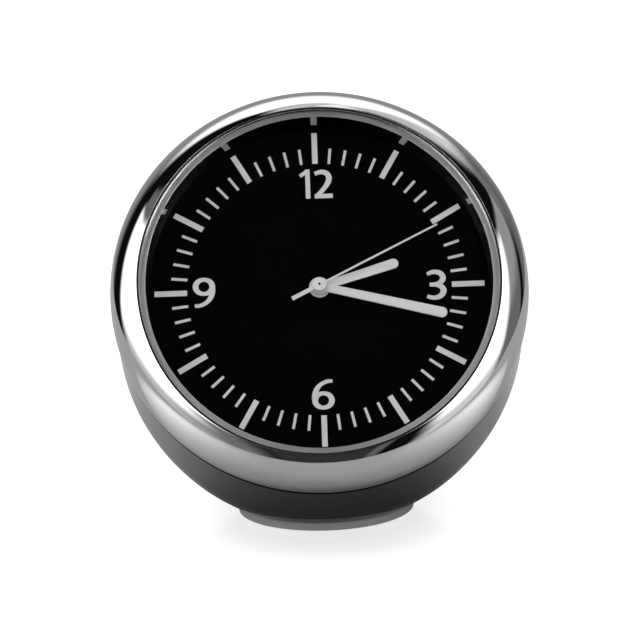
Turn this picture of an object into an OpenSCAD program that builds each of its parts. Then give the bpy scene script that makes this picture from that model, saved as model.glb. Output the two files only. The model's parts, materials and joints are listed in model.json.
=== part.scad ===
// Ball-shaped stick-on dashboard clock: a reclined quartz clock head in a black ball shell.
// The head is drawn on its own axis, with the dial's face at height 0, the outward side up
// and twelve o'clock along +Y. on_head() then tilts it back and sets it over the foot pad.

/* [Dial and crystal] */
// Diameter of dial that the ring round it leaves in sight
dial_view_d = 32.3; // [30:0.1:34]
// Thickness of the dial
dial_t = 0.4; // [0.3:0.05:0.6]
// Height of the polished ring between the dial and the crystal
rehaut_h = 2.4; // [2:0.1:3]
// How far that ring's wall leans outwards over its height
rehaut_flare = 0.35; // [0.1:0.05:0.6]
// Width of the ring's flat top under the crystal
flange_w = 0.8; // [0.6:0.05:1.2]
// Thickness of the ring's flat top
flange_t = 0.8; // [0.5:0.05:1]
// Step from the ring's wall to its flat top, which rests on the case
flange_step = 0.3; // [0.2:0.05:0.4]
// Thickness of the crystal
crystal_t = 0.8; // [0.6:0.05:1.2]
// Width of the gasket round the crystal
gasket_w = 0.18; // [0.12:0.02:0.3]
// Gap between the hour marks and the ring round the dial
mark_edge = 0.45; // [0.3:0.05:0.8]
// Length of an hour mark, which sets where all the marks start
hour_mark_l = 3.1; // [2.6:0.1:3.6]
// Width of an hour mark
hour_mark_w = 0.53; // [0.4:0.01:0.7]
// Length of a minute mark
minute_mark_l = 1.54; // [1.2:0.02:1.8]
// Width of a minute mark
minute_mark_w = 0.26; // [0.2:0.01:0.35]
// Thickness of the print on the dial
print_t = 0.03; // [0.02:0.01:0.06]

/* [Bezel] */
// Width of the bezel seen from the front
bezel_band = 2.62; // [2.2:0.02:3]
// Radius of the bezel's round section
bezel_round = 3.7; // [3.4:0.1:4.5]
// Height of the bezel's inner lip above the crystal's seat
bezel_lip = 0.69; // [0.5:0.01:0.8]
// Straight skirt below the widest point of the bezel
bezel_skirt = 0.25; // [0.15:0.05:0.4]
// Wall left on each side of the groove cored out of the bezel's underside
bezel_wall = 0.6; // [0.5:0.05:0.65]
// Depth of that groove
bezel_core = 1.3; // [0.8:0.1:1.6]

/* [Shell and foot] */
// How far the dial leans back from upright, in degrees
recline = 32; // [20:1:45]
// Step in from the bezel's edge to the shell's rim
rim_step = 0.15; // [0.1:0.05:0.3]
// Step in from the bezel's edge to the ball
ball_step = 0.35; // [0.2:0.05:0.6]
// Length of the shell's straight neck, from the ball's middle to its rim
neck_l = 9.68; // [8:0.1:11]
// Wall of the shell
shell_wall = 1.6; // [1.3:0.05:1.9]
// Gap between the bezel and the shell's rim
seam = 0.05; // [0.03:0.01:0.1]
// Chamfer on the outside of the shell's rim
rim_chamfer = 0.2; // [0.1:0.05:0.3]
// Diameter of the adhesive pad under the ball
pad_d = 17; // [14:0.5:20]
// Thickness of the adhesive pad
pad_t = 0.8; // [0.5:0.1:1.5]

/* [Clock case] */
// Clearance of the case's sleeve in the shell's mouth
sleeve_fit = 0.08; // [0.04:0.01:0.1]
// Depth of the sleeve in the shell's mouth
sleeve_l = 3.3; // [2.5:0.1:4]
// Thickness of the web behind the dial
web_t = 0.8; // [0.6:0.1:1]
// Wall of the movement pot
pot_wall = 1; // [0.8:0.1:1.3]
// Number of ribs between the pot and the sleeve
rib_n = 11; // [5:2:15]
// Thickness of a rib
rib_t = 0.8; // [0.6:0.1:1.2]
// Width of the finger notch for the crown
notch_w = 7; // [6:0.5:9]
// Thickness of the case back
back_t = 0.8; // [0.6:0.1:1.2]
// Depth of the rim by which the case back holds in the pot
back_rim = 0.6; // [0.4:0.1:0.8]

/* [Movement] */
// Radius of the mainplate
plate_r = 11; // [10.9:0.05:11.6]
// Thickness of the mainplate
plate_t = 1.6; // [1.5:0.05:1.9]
// Width of the plastic ring that holds the mainplate in the pot
holder_w = 2.1; // [1.6:0.1:2.6]
// Thickness of the holder's ledge between the web and the mainplate
holder_ledge = 0.7; // [0.7:0.05:1]
// Room for the wheels between the mainplate and the bridge
train_gap = 2.5; // [2.5:0.05:3]
// Thickness of the bridge
bridge_t = 0.5; // [0.4:0.05:0.7]
// Room behind the bridge
back_gap = 0.9; // [0.8:0.1:1.5]
// Radius of the wheels' arbors
arbor_r = 0.18; // [0.14:0.01:0.2]
// Radius of the second hand's arbor
second_arbor_r = 0.2; // [0.16:0.01:0.22]
// Wall of the cannon pinion's tube
cannon_wall = 0.2; // [0.16:0.01:0.22]
// Wall of the hour wheel's pipe
pipe_wall = 0.23; // [0.18:0.01:0.25]
// Running clearance of every arbor in its hole
bearing_fit = 0.06; // [0.03:0.01:0.08]
// Thickness of the wheels
wheel_t = 0.2; // [0.15:0.05:0.25]
// Diameter and thickness of the button cell
battery_d = 6.8; // [6.2:0.1:6.9]
battery_t = 2.6; // [2.1:0.1:2.7]

/* [Motor] */
// Radius of the rotor's magnet
magnet_r = 0.8; // [0.6:0.05:0.9]
// Air gap round the magnet
air_gap = 0.25; // [0.15:0.05:0.35]
// Thickness of the stator and of the coil's core
lamination_t = 0.5; // [0.4:0.05:0.55]
// Radius of the coil
coil_r = 1; // [0.8:0.05:1.05]
// Length of the coil
coil_l = 7.5; // [6.5:0.1:7.6]

/* [Crown] */
// Radius of the crown
crown_r = 1.35; // [1.1:0.05:1.35]
// Length of the crown
crown_l = 1.9; // [1.5:0.1:2]
// Grooves in the crown's grip
crown_grooves = 24; // [16:2:30]
// Radius of the stem
stem_r = 0.45; // [0.35:0.05:0.5]
// Travel of the stem when the crown is pulled
stem_travel = 0.8; // [0.5:0.1:0.8]

/* [Hands] */
// Thickness of the hour and minute hands
hand_t = 0.15; // [0.1:0.05:0.2]
// Length of the hour hand, as a share of the radius at which the marks start
hour_hand_share = 0.631; // [0.5:0.01:0.75]
// Width of the hour hand at the hub and at the round tip
hour_hand_w = [0.8, 0.98];
// How far the minute hand ends short of the marks
minute_hand_short = 0.1; // [0:0.05:0.6]
// Width of the minute hand at the hub and at the round tip
minute_hand_w = [0.78, 1];
// How far the second hand runs over the marks
second_hand_over = 0.15; // [0:0.05:1]
// Length of the second hand's tail
second_tail_l = 2.94; // [2:0.02:4]
// Width of the second hand's needle and of its tail
second_hand_w = [0.2, 0.4];
// Diameter of the hour hand's hub
hour_hub_d = 2; // [1.8:0.1:2.4]
// Diameter of the minute hand's hub
minute_hub_d = 1.6; // [1.4:0.1:1.8]
// Diameter of the second hand's boss
second_boss_d = 1.34; // [1:0.02:1.5]
// Height of the hour hand above the dial
hour_hand_z = 0.35; // [0.3:0.05:0.4]
// Step from one hand up to the next
hand_step = 0.42; // [0.38:0.02:0.5]
// Time shown: hours, minutes and seconds as clockwise angles from twelve
hour_angle = 73.4; // [0:0.1:360]
minute_angle = 104.7; // [0:0.1:360]
second_angle = 63.6; // [0:0.1:360]

/* [Hidden] */
$fn = 96;
eps = 0.01;

// Head radii, from the dial outwards
ring_fit = 0.03;
rehaut_in_r = dial_view_d / 2;
rehaut_top_r = rehaut_in_r + rehaut_flare;
flange_r = rehaut_top_r + flange_w;
opening_r = flange_r + ring_fit;
crystal_r = opening_r - gasket_w;
dial_r = flange_r - flange_step;
bezel_r = opening_r + bezel_band;
rim_r = bezel_r - rim_step;
ball_r = bezel_r - ball_step;
mouth_r = ball_r - shell_wall;
sleeve_r = mouth_r - sleeve_fit;
collar_in_r = dial_r + 0.05;

// Reach of the marks and of the hands from the centre
mark_in_r = rehaut_in_r - mark_edge - hour_mark_l;
hour_hand_l = hour_hand_share * mark_in_r;
minute_hand_l = mark_in_r - minute_hand_short;
second_hand_l = mark_in_r + second_hand_over;

// Head heights, from the front backwards
lip_z = rehaut_h + bezel_lip;
arc_r = bezel_r - bezel_round;
arc_z = lip_z - sqrt(pow(bezel_round, 2) - pow(opening_r - arc_r, 2));
bezel_back_z = arc_z - bezel_skirt;
rim_z = bezel_back_z - seam;
ball_back = neck_l - rim_z;
collar_z = rehaut_h - flange_t;
web_z = -dial_t - web_t;
sleeve_z = rim_z - sleeve_l;
plate_z = web_z - holder_ledge;
train_z = plate_z - plate_t;
bridge_z = train_z - train_gap;
bridge_back_z = bridge_z - bridge_t;
pot_z = bridge_back_z - back_gap;

// Foot: the ball is cut flat where the pad covers it
pad_r = pad_d / 2;
flat_r = pad_r + 0.02;
ball_z = pad_t + sqrt(pow(ball_r, 2) - pow(flat_r, 2));
floor_z = pad_t + shell_wall;

// Case radii
holder_in_r = plate_r + 0.05;
holder_r = plate_r + holder_w + 0.05;
pot_in_r = holder_r + 0.05;
pot_r = pot_in_r + pot_wall;
web_hole_r = holder_r - 0.95;
ledge_r = plate_r - 0.6;

// The movement is laid out for a mainplate of radius 11, and its plan grows and shrinks with it
plan = plate_r / 11;

// Gearing: [teeth, module] of each wheel and pinion
centre_gear = [64, 0.085 * plan];
third_leaf = [8, 0.085 * plan];
third_gear = [60, 0.09 * plan];
second_leaf = [8, 0.09 * plan];
second_gear = [50, 0.105 * plan];
middle_leaf = [10, 0.105 * plan];
middle_gear = [60, 0.08 * plan];
rotor_leaf = [10, 0.08 * plan];
cannon_leaf = [12, 0.125 * plan];
minute_gear = [36, 0.125 * plan];
minute_leaf = [10, 0.12 * plan];
hour_gear = [40, 0.12 * plan];
function reach(a, b) = (a[0] * a[1] + b[0] * b[1]) / 2;
function polar(r, a) = [r * cos(a), r * sin(a)];
function tip_r(g) = g[1] * (g[0] / 2 + 0.9);

// Directions from one arbor to the next, and the places of the arbors
third_dir = 90;
middle_dir = 250;
rotor_dir = 205;
minute_dir = -60;
third_at = polar(reach(second_leaf, third_gear), third_dir);
middle_at = polar(reach(second_gear, middle_leaf), middle_dir);
rotor_at = middle_at + polar(reach(middle_gear, rotor_leaf), rotor_dir);
minute_at = polar(reach(cannon_leaf, minute_gear), minute_dir);

// Angle at which the second gear of a pair has a tooth, so that it meshes with the first
function mesh(dir, n1, n2, first = 0) = dir + 180 + (dir - first) * n1 / n2 + 180 / n2;

// Heights of the train's levels, measured back from the mainplate
centre_gear_z = train_z - 0.5;
third_gear_z = train_z - 1.2;
middle_gear_z = train_z - 1.6;
second_gear_z = train_z - 2;
// Heights of the motion works, measured forward from the mainplate
minute_gear_z = plate_z + 0.15;
hour_gear_z = plate_z + 0.8;
leaf_more = 0.1;

// Radii of the nested tubes at the centre
second_hole_r = second_arbor_r + bearing_fit;
cannon_r = second_hole_r + cannon_wall;
cannon_hole_r = cannon_r + bearing_fit;
pipe_r = cannon_hole_r + pipe_wall;
dial_hole_r = pipe_r + 0.09;
arbor_hole_r = arbor_r + bearing_fit;
post_r = 0.3;
post_h = 1.2;

// Hand heights
minute_hand_z = hour_hand_z + hand_step;
second_hand_z = minute_hand_z + hand_step;
needle_t = 0.1;
boss_h = 0.35;

// Screws, pillars and seats of the movement
screw_r = 0.35;
screw_head_r = 0.65;
screw_head_t = 0.35;
pillar_r = 0.9;
pillars = plan * [[-3.4, 5.2], [4.4, 1.8], [-0.4, -6.9]];
bridge_w = 2;
arm_share = 0.8;
core_w = 1.25;
seat_r = 0.9;
seat_edge = 0.1;
coil_y = -0.9 * plan;
coil_seat = coil_l / 2 + seat_r + 0.45;
coil_x = -sqrt(pow(plate_r - seat_r - seat_edge, 2) - pow(coil_seat - coil_y, 2));
coil_seats = [[coil_x, coil_y - coil_seat], [coil_x, coil_y + coil_seat]];
seat_h = 0.35;
stator_z = train_z - seat_h - lamination_t;
core_z = stator_z - lamination_t;
stator_w = 1.4;
stator_ring_w = 0.85;
stator_ring_r = magnet_r + air_gap + stator_ring_w;
stator_knee = plan * [-5, 3.4];
battery_r = battery_d / 2;
battery_edge = 0.4;
battery_dir = -41;
battery_at = polar(plate_r - battery_edge - battery_r, battery_dir);
contact_ends = [[-1.4, 0], [2, 0]];
contact_w = 1.2;
strip_t = 0.2;
cell_wall = [0.08, 0.55];
clip_r = 0.55;
clip_dir = 46;
clip_at = battery_at + polar(battery_r + cell_wall[1] + clip_r + 0.23, clip_dir);
foot_r = 0.4;
dial_feet = [polar(9.4 * plan, 62), polar(9.4 * plan, 242)];
board_t = 0.3;
board_in_r = 6.2 * plan;
board_w = 4.4 * plan;
chip_at = plan * [-2.4, 7.2];
chip_size = [2.4, 2.4, 0.6];
can_at = plan * [3.4, 5.9];
can_l = 4.6 * plan;
can_r = 0.75;

// Stem and crown, on the three o'clock side
stem_drop = 0.7;
stem_z = plate_z - stem_drop;
stem_tip_r = 0.28;
clutch_gear = [10, 0.11];
stem_hole_r = stem_r + 0.08;
crown_x = pot_r + 0.25;
detent_x = 7.2 * plan;
detent_t = 0.3;
groove_r = stem_r * 0.6;
clutch_x = 5 * plan;
clutch_l = 0.9;

module on_head() {
    translate([0, 0, ball_z]) rotate([90 - recline, 0, 0]) translate([0, 0, ball_back])
        children();
}

module ring(r_out, r_in, h) {
    difference() {
        cylinder(h = h, r = r_out);
        translate([0, 0, -1]) cylinder(h = h + 2, r = r_in);
    }
}

// Flat arm between two round bosses of diameter w, a little narrower than they are
module bar(a, b, w, h) {
    along = b - a;
    arm_w = w * arm_share;
    translate(a) cylinder(h = h, r = w / 2);
    translate(b) cylinder(h = h, r = w / 2);
    translate(a) rotate([0, 0, atan2(along[1], along[0])])
        translate([0, -arm_w / 2, 0]) cube([norm(along), arm_w, h]);
}

// Toothed disc, its four crossings cut out when it is a wheel and not a pinion
module gear(g, h, hole_r, phase = 0, crossings = false) {
    n = g[0];
    root = g[1] * (n / 2 - 1.2);
    tip = tip_r(g);
    pitch = 360 / n;
    difference() {
        rotate([0, 0, phase]) linear_extrude(h)
            polygon([for (i = [0:n - 1]) for (p = [[root, -0.28], [tip, -0.11], [tip, 0.11], [root, 0.28]])
                polar(p[0], (i + p[1]) * pitch)]);
        translate([0, 0, -1]) cylinder(h = h + 2, r = hole_r);
        if (crossings) for (a = [45:90:315]) rotate([0, 0, a]) translate([root * 0.56, 0, -1])
            cylinder(h = h + 2, r = root * 0.26);
    }
}

// Screw with a slotted head, drawn with the head's seat at height 0 and the slot up
module screw(l) {
    difference() {
        union() {
            cylinder(h = screw_head_t, r = screw_head_r);
            translate([0, 0, -l]) cylinder(h = l + eps, r = screw_r);
        }
        translate([-screw_head_r, -0.08, screw_head_t - 0.15]) cube([2 * screw_head_r, 0.16, 1]);
    }
}

// Outline of the shell or of its cavity: a quarter circle under a straight neck
module shell_section(r, top_r, l, chamfer) {
    intersection() {
        circle(r = r);
        translate([0, -r]) square(r);
    }
    polygon([[0, 0], [r, 0], [top_r, l - chamfer], [top_r - chamfer, l], [0, l]]);
}

module shell() {
    color("#101010") difference() {
        translate([0, 0, ball_z]) rotate([90 - recline, 0, 0])
            rotate_extrude() shell_section(ball_r, rim_r, neck_l, rim_chamfer);
        translate([-ball_r, -ball_r, pad_t - 5]) cube([2 * ball_r, 2 * ball_r, 5]);
        intersection() {
            translate([0, 0, ball_z]) rotate([90 - recline, 0, 0])
                rotate_extrude() shell_section(mouth_r, mouth_r, neck_l + 1, eps);
            translate([-2 * ball_r, -2 * ball_r, floor_z]) cube([4 * ball_r, 4 * ball_r, 4 * ball_r]);
        }
    }
}

module foot_pad() {
    color("#c9cbcb") cylinder(h = pad_t, r = pad_r);
}

module bezel() {
    groove_in = sleeve_r + bezel_wall;
    groove_w = bezel_r - bezel_wall - groove_in;
    color("#d8d8da") on_head() rotate_extrude() difference() {
        intersection() {
            translate([arc_r, arc_z]) circle(r = bezel_round);
            translate([opening_r, bezel_back_z]) square(bezel_round * 2);
        }
        translate([0, bezel_back_z - 1]) square([sleeve_r, collar_z - bezel_back_z + 1]);
        translate([groove_in, bezel_back_z - 1]) square([groove_w, bezel_core + 1]);
    }
}

module crystal() {
    color("#ffffff30") on_head() translate([0, 0, rehaut_h]) union() {
        cylinder(h = crystal_t - 0.1, r = crystal_r);
        translate([0, 0, crystal_t - 0.1]) cylinder(h = 0.1, r1 = crystal_r, r2 = crystal_r - 0.1);
    }
}

module crystal_gasket() {
    color("#0b0b0b") on_head() translate([0, 0, rehaut_h])
        ring(opening_r, crystal_r, bezel_lip - 0.05);
}

module rehaut_ring() {
    color("#c8c8c8") on_head() rotate_extrude() polygon([
        [rehaut_in_r, 0], [rehaut_top_r, rehaut_h], [flange_r, rehaut_h],
        [flange_r, collar_z], [dial_r, collar_z], [dial_r, 0]]);
}

module dial() {
    color("#080808") on_head() difference() {
        union() {
            translate([0, 0, -dial_t]) cylinder(h = dial_t, r = dial_r);
            for (p = dial_feet) translate([p[0], p[1], plate_z - 0.6])
                cylinder(h = 0.6 - plate_z - dial_t + eps, r = foot_r);
        }
        translate([0, 0, -dial_t - 1]) cylinder(h = dial_t + 2, r = dial_hole_r);
    }
}

// Printed bars of length l and width w, on the hours or on the minutes between them
module marks(l, w, hours) {
    color("#dcdcdc") on_head() for (i = [0:59]) if ((i % 5 == 0) == hours)
        rotate([0, 0, i * 6]) translate([mark_in_r, -w / 2, 0]) cube([l, w, print_t]);
}

module hour_markers() { marks(hour_mark_l, hour_mark_w, true); }

module minute_track() { marks(minute_mark_l, minute_mark_w, false); }

module module_case() {
    color("#1b1b1c") on_head() difference() {
        union() {
            translate([0, 0, sleeve_z]) ring(sleeve_r, collar_in_r, collar_z - sleeve_z);
            translate([0, 0, web_z]) ring(sleeve_r, web_hole_r, web_t);
            translate([0, 0, pot_z]) ring(pot_r, pot_in_r, web_z - pot_z + eps);
            for (i = [1:rib_n]) rotate([0, 0, i * 360 / (rib_n + 1)])
                translate([pot_r - 0.3, -rib_t / 2, sleeve_z + 0.8])
                    cube([collar_in_r - pot_r + 0.6, rib_t, web_z - sleeve_z - 0.8 + eps]);
        }
        translate([pot_in_r - 1, 0, stem_z]) rotate([0, 90, 0])
            cylinder(h = pot_wall + 2, r = stem_hole_r);
        translate([pot_r + 0.1, -notch_w / 2, sleeve_z - 1]) cube([10, notch_w, web_z - sleeve_z + 1]);
    }
}

module case_back() {
    color("#161617") on_head() difference() {
        union() {
            translate([0, 0, pot_z - back_t]) cylinder(h = back_t, r = pot_r);
            translate([0, 0, pot_z - eps]) ring(pot_in_r - 0.03, pot_in_r - 1, back_rim);
        }
        translate([0, -pot_r - 0.5, pot_z - back_t - 0.4]) cylinder(h = back_t, r = 2);
    }
}

module movement_holder() {
    color("#d9d6cc") on_head() difference() {
        union() {
            translate([0, 0, plate_z]) ring(holder_r, ledge_r, web_z - plate_z);
            translate([0, 0, pot_z + back_rim + 0.1])
                ring(holder_r, holder_in_r, plate_z - pot_z - back_rim - 0.1 + eps);
        }
        translate([plate_r - 1, 0, stem_z]) rotate([0, 90, 0])
            cylinder(h = holder_w + 2, r = stem_hole_r);
    }
}

module mainplate() {
    color("#c9b27a") on_head() difference() {
        union() {
            translate([0, 0, train_z]) cylinder(h = plate_t, r = plate_r);
            for (p = pillars) translate([p[0], p[1], bridge_z]) cylinder(h = train_gap + eps, r = pillar_r);
            for (p = coil_seats) translate([p[0], p[1], train_z - seat_h])
                cylinder(h = seat_h + eps, r = seat_r);
            translate([minute_at[0], minute_at[1], plate_z - eps])
                cylinder(h = post_h, r = post_r);
            intersection() {
                translate([battery_at[0], battery_at[1], train_z - 1])
                    ring(battery_r + cell_wall[1], battery_r + cell_wall[0], 1 + eps);
                translate([0, 0, train_z - 2]) ring(plate_r - 0.15, tip_r(centre_gear) + 0.3, 3);
            }
        }
        translate([0, 0, train_z - 1]) cylinder(h = plate_t + 2, r = cannon_hole_r);
        for (p = [third_at, middle_at, rotor_at]) translate([p[0], p[1], train_z - 1])
            cylinder(h = 1.6, r = arbor_hole_r);
        for (p = pillars) translate([p[0], p[1], bridge_z - 1]) cylinder(h = 2.5, r = screw_r);
        for (p = coil_seats) translate([p[0], p[1], train_z - seat_h - 1])
            cylinder(h = seat_h + 2, r = screw_r);
        for (p = dial_feet) translate([p[0], p[1], plate_z - 0.8]) cylinder(h = 2, r = foot_r + 0.05);
        translate([clutch_x, 0, stem_z]) rotate([0, 90, 0])
            cylinder(h = plate_r, r = stem_hole_r);
        translate([clutch_x - 0.3, -1.1, stem_z - tip_r(clutch_gear) - 0.08])
            cube([detent_x - clutch_x + 2, 2.2, plate_t]);
    }
}

module train_bridge() {
    spans = [[pillars[0], third_at], [third_at, [0, 0]], [[0, 0], pillars[1]],
        [[0, 0], middle_at], [middle_at, pillars[2]], [middle_at, rotor_at]];
    color("#c4ab72") on_head() translate([0, 0, bridge_back_z]) difference() {
        union() for (s = spans) bar(s[0], s[1], bridge_w, bridge_t);
        for (p = [third_at, middle_at, rotor_at])
            translate([p[0], p[1], -1]) cylinder(h = bridge_t + 2, r = arbor_hole_r);
        translate([0, 0, -1]) cylinder(h = bridge_t + 2, r = second_hole_r);
        for (p = pillars) translate([p[0], p[1], -1]) cylinder(h = bridge_t + 2, r = screw_r);
    }
}

module bridge_screws() {
    color("#9a9ca0") on_head() for (p = pillars)
        translate([p[0], p[1], bridge_back_z]) mirror([0, 0, 1]) screw(bridge_t + 1.2);
}

module stator() {
    color("#8d8f92") on_head() translate([0, 0, stator_z]) difference() {
        union() {
            translate(rotor_at) cylinder(h = lamination_t, r = stator_ring_r);
            bar(coil_seats[0], rotor_at, stator_w, lamination_t);
            bar(coil_seats[1], stator_knee, stator_w, lamination_t);
            bar(stator_knee, rotor_at, stator_w, lamination_t);
        }
        translate([rotor_at[0], rotor_at[1], -1])
            cylinder(h = lamination_t + 2, r = magnet_r + air_gap);
        for (p = coil_seats) translate([p[0], p[1], -1]) cylinder(h = lamination_t + 2, r = screw_r);
    }
}

module coil_core() {
    color("#a2a4a6") on_head() translate([0, 0, core_z]) difference() {
        bar(coil_seats[0], coil_seats[1], core_w, lamination_t);
        for (p = coil_seats) translate([p[0], p[1], -1]) cylinder(h = lamination_t + 2, r = screw_r);
    }
}

module coil_winding() {
    color("#b5632e") on_head() translate([coil_x, coil_y - coil_l / 2, core_z + lamination_t / 2])
        difference() {
            rotate([-90, 0, 0]) {
                cylinder(h = coil_l, r = coil_r - 0.15);
                cylinder(h = 0.35, r = coil_r);
                translate([0, 0, coil_l - 0.35]) cylinder(h = 0.35, r = coil_r);
            }
            translate([-core_w * arm_share / 2, -1, -lamination_t / 2])
                cube([core_w * arm_share, coil_l + 2, lamination_t]);
        }
}

module coil_screws() {
    color("#9a9ca0") on_head() for (p = coil_seats)
        translate([p[0], p[1], core_z]) mirror([0, 0, 1]) screw(2 * lamination_t + 0.9);
}

module circuit_board() {
    color("#1d5a34") on_head() translate([0, 0, train_z - board_t]) difference() {
        rotate([0, 0, 22]) rotate_extrude(angle = 112) translate([board_in_r, 0]) square([board_w, board_t]);
        for (p = concat([pillars[0]], dial_feet))
            translate([p[0], p[1], -1]) cylinder(h = board_t + 2, r = pillar_r + 0.15);
    }
}

module circuit_chip() {
    color("#0d0d0e") on_head() translate([chip_at[0], chip_at[1], train_z - board_t - chip_size[2]])
        cube(chip_size);
}

module quartz_can() {
    color("#b9bcc0") on_head() translate([can_at[0], can_at[1], train_z - board_t - can_r])
        rotate([0, 90, 0]) {
            cylinder(h = can_l, r = can_r);
            translate([0, 0, can_l - eps]) cylinder(h = 0.3, r1 = can_r, r2 = can_r - 0.2);
        }
}

module battery() {
    can_h = battery_t * 0.8;
    color("#c0c2c5") on_head() translate([battery_at[0], battery_at[1], train_z - strip_t - battery_t]) {
        cylinder(h = can_h, r = battery_r);
        translate([0, 0, can_h - eps]) cylinder(h = battery_t - can_h + eps, r = battery_r - 0.6);
    }
}

module battery_contact() {
    color("#d2b04c") on_head() translate([0, 0, train_z - strip_t])
        bar(battery_at + contact_ends[0], battery_at + contact_ends[1], contact_w, strip_t);
}

module battery_clip() {
    top = strip_t + battery_t;
    color("#b4b6b9") on_head() translate([0, 0, train_z - top - strip_t]) {
        bar(battery_at, clip_at, 1.6, strip_t);
        translate(clip_at) cylinder(h = top + strip_t, r = clip_r);
    }
}

module stem_detent() {
    color("#a7a9ac") on_head() translate([detent_x, 0, stem_z]) difference() {
        translate([0, -0.9, -0.65]) cube([detent_t, 1.8, 1.3]);
        translate([-1, 0, 0]) rotate([0, 90, 0]) cylinder(h = 2, r = groove_r + bearing_fit);
    }
}

module stem() {
    groove = detent_t + 0.15;
    color("#b0b2b5") on_head() translate([0, 0, stem_z]) rotate([0, 90, 0]) difference() {
        union() {
            translate([0, 0, clutch_x]) cylinder(h = clutch_l + eps, r = stem_tip_r);
            translate([0, 0, clutch_x + clutch_l])
                cylinder(h = crown_x + 0.6 - clutch_x - clutch_l, r = stem_r);
        }
        translate([0, 0, detent_x - (groove - detent_t) / 2]) ring(1, groove_r, groove);
    }
}

module crown() {
    color("#cfd0d2") on_head() translate([crown_x, 0, stem_z]) rotate([0, 90, 0]) difference() {
        cylinder(h = crown_l, r = crown_r);
        translate([0, 0, -1]) cylinder(h = 1.6, r = stem_r);
        for (i = [0:crown_grooves - 1]) rotate([0, 0, i * 360 / crown_grooves])
            translate([crown_r, 0, 0.3]) rotate([0, 0, 45]) translate([-0.08, -0.08, 0])
                cube([0.16, 0.16, crown_l]);
    }
}

module clutch_pinion() {
    color("#c2a660") on_head() translate([clutch_x, 0, stem_z]) rotate([0, 90, 0])
        gear(clutch_gear, clutch_l, stem_tip_r);
}

// Hand blade along its own +X axis: a tapered baton with a round tip
module baton(l, w, hub_d, h) {
    half = w[1] / 2;
    linear_extrude(h) polygon([[0, -w[0] / 2], [l - half, -half], [l - half, half], [0, w[0] / 2]]);
    translate([l - half, 0, 0]) cylinder(h = h, r = half);
    cylinder(h = h, r = hub_d / 2);
}

module clockwise(angle) { rotate([0, 0, 90 - angle]) children(); }

module hour_hand() {
    color("#e6e6e6") on_head() clockwise(hour_angle) translate([0, 0, hour_hand_z]) difference() {
        baton(hour_hand_l, hour_hand_w, hour_hub_d, hand_t);
        translate([0, 0, -1]) cylinder(h = 3, r = pipe_r);
    }
}

module minute_hand() {
    color("#e6e6e6") on_head() clockwise(minute_angle) translate([0, 0, minute_hand_z]) difference() {
        baton(minute_hand_l, minute_hand_w, minute_hub_d, hand_t);
        translate([0, 0, -1]) cylinder(h = 3, r = cannon_r);
    }
}

module second_hand() {
    w = second_hand_w;
    color("#e6e6e6") on_head() clockwise(second_angle) translate([0, 0, second_hand_z]) difference() {
        union() {
            translate([0, -w[0] / 2, 0]) cube([second_hand_l, w[0], needle_t]);
            translate([-second_tail_l, -w[1] / 2, 0]) cube([second_tail_l, w[1], needle_t]);
            cylinder(h = boss_h, r = second_boss_d / 2);
        }
        translate([0, 0, -1]) cylinder(h = 1 + boss_h - 0.1, r = second_arbor_r);
    }
}

module second_wheel() {
    low = bridge_back_z + 0.15;
    phase = mesh(middle_dir, second_gear[0], middle_leaf[0]);
    color("#d6bd7c") on_head() {
        translate([0, 0, low]) cylinder(h = second_hand_z + boss_h - 0.1 - low, r = second_arbor_r);
        translate([0, 0, second_gear_z]) gear(second_gear, wheel_t, second_arbor_r, 0, true);
        translate([0, 0, third_gear_z - leaf_more])
            gear(second_leaf, wheel_t + 2 * leaf_more, second_arbor_r, mesh(third_dir + 180,
                third_gear[0], second_leaf[0]));
    }
}

module centre_wheel() {
    color("#d6bd7c") on_head() translate([0, 0, centre_gear_z])
        gear(centre_gear, wheel_t, cannon_r, 0, true);
}

module cannon_pinion() {
    low = centre_gear_z - 0.1;
    color("#c8a95e") on_head() difference() {
        union() {
            translate([0, 0, low]) cylinder(h = minute_hand_z + hand_t - low, r = cannon_r);
            translate([0, 0, minute_gear_z - 0.05]) gear(cannon_leaf, wheel_t + 0.15, cannon_r - eps,
                mesh(minute_dir + 180, minute_gear[0], cannon_leaf[0]));
        }
        translate([0, 0, low - 1]) cylinder(h = minute_hand_z - low + 3, r = second_hole_r);
    }
}

module hour_wheel() {
    low = hour_gear_z - 0.1;
    color("#c8a95e") on_head() difference() {
        union() {
            translate([0, 0, low]) cylinder(h = hour_hand_z + hand_t - low, r = pipe_r);
            translate([0, 0, hour_gear_z]) gear(hour_gear, wheel_t, pipe_r - eps,
                mesh(minute_dir + 180, minute_leaf[0], hour_gear[0]), true);
        }
        translate([0, 0, low - 1]) cylinder(h = hour_hand_z - low + 3, r = cannon_hole_r);
    }
}

module minute_wheel() {
    color("#c8a95e") on_head() translate([minute_at[0], minute_at[1], 0]) difference() {
        union() {
            translate([0, 0, minute_gear_z]) gear(minute_gear, wheel_t, post_r, 0);
            translate([0, 0, minute_gear_z + wheel_t - eps])
                gear(minute_leaf, hour_gear_z - minute_gear_z + leaf_more, post_r, 0);
        }
        translate([0, 0, minute_gear_z - 1]) cylinder(h = 4, r = post_r + bearing_fit);
    }
}

// Arbor across the train's gap, its ends in the mainplate and in the bridge
module arbor() {
    translate([0, 0, bridge_z - bridge_t * 0.6])
        cylinder(h = train_gap + bridge_t * 0.6 + 0.5, r = arbor_r);
}

module third_wheel() {
    color("#d6bd7c") on_head() translate([third_at[0], third_at[1], 0]) {
        arbor();
        translate([0, 0, third_gear_z]) gear(third_gear, wheel_t, arbor_r - eps, 0, true);
        translate([0, 0, centre_gear_z - leaf_more]) gear(third_leaf, wheel_t + 2 * leaf_more,
            arbor_r - eps, mesh(third_dir, centre_gear[0], third_leaf[0]));
    }
}

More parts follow.
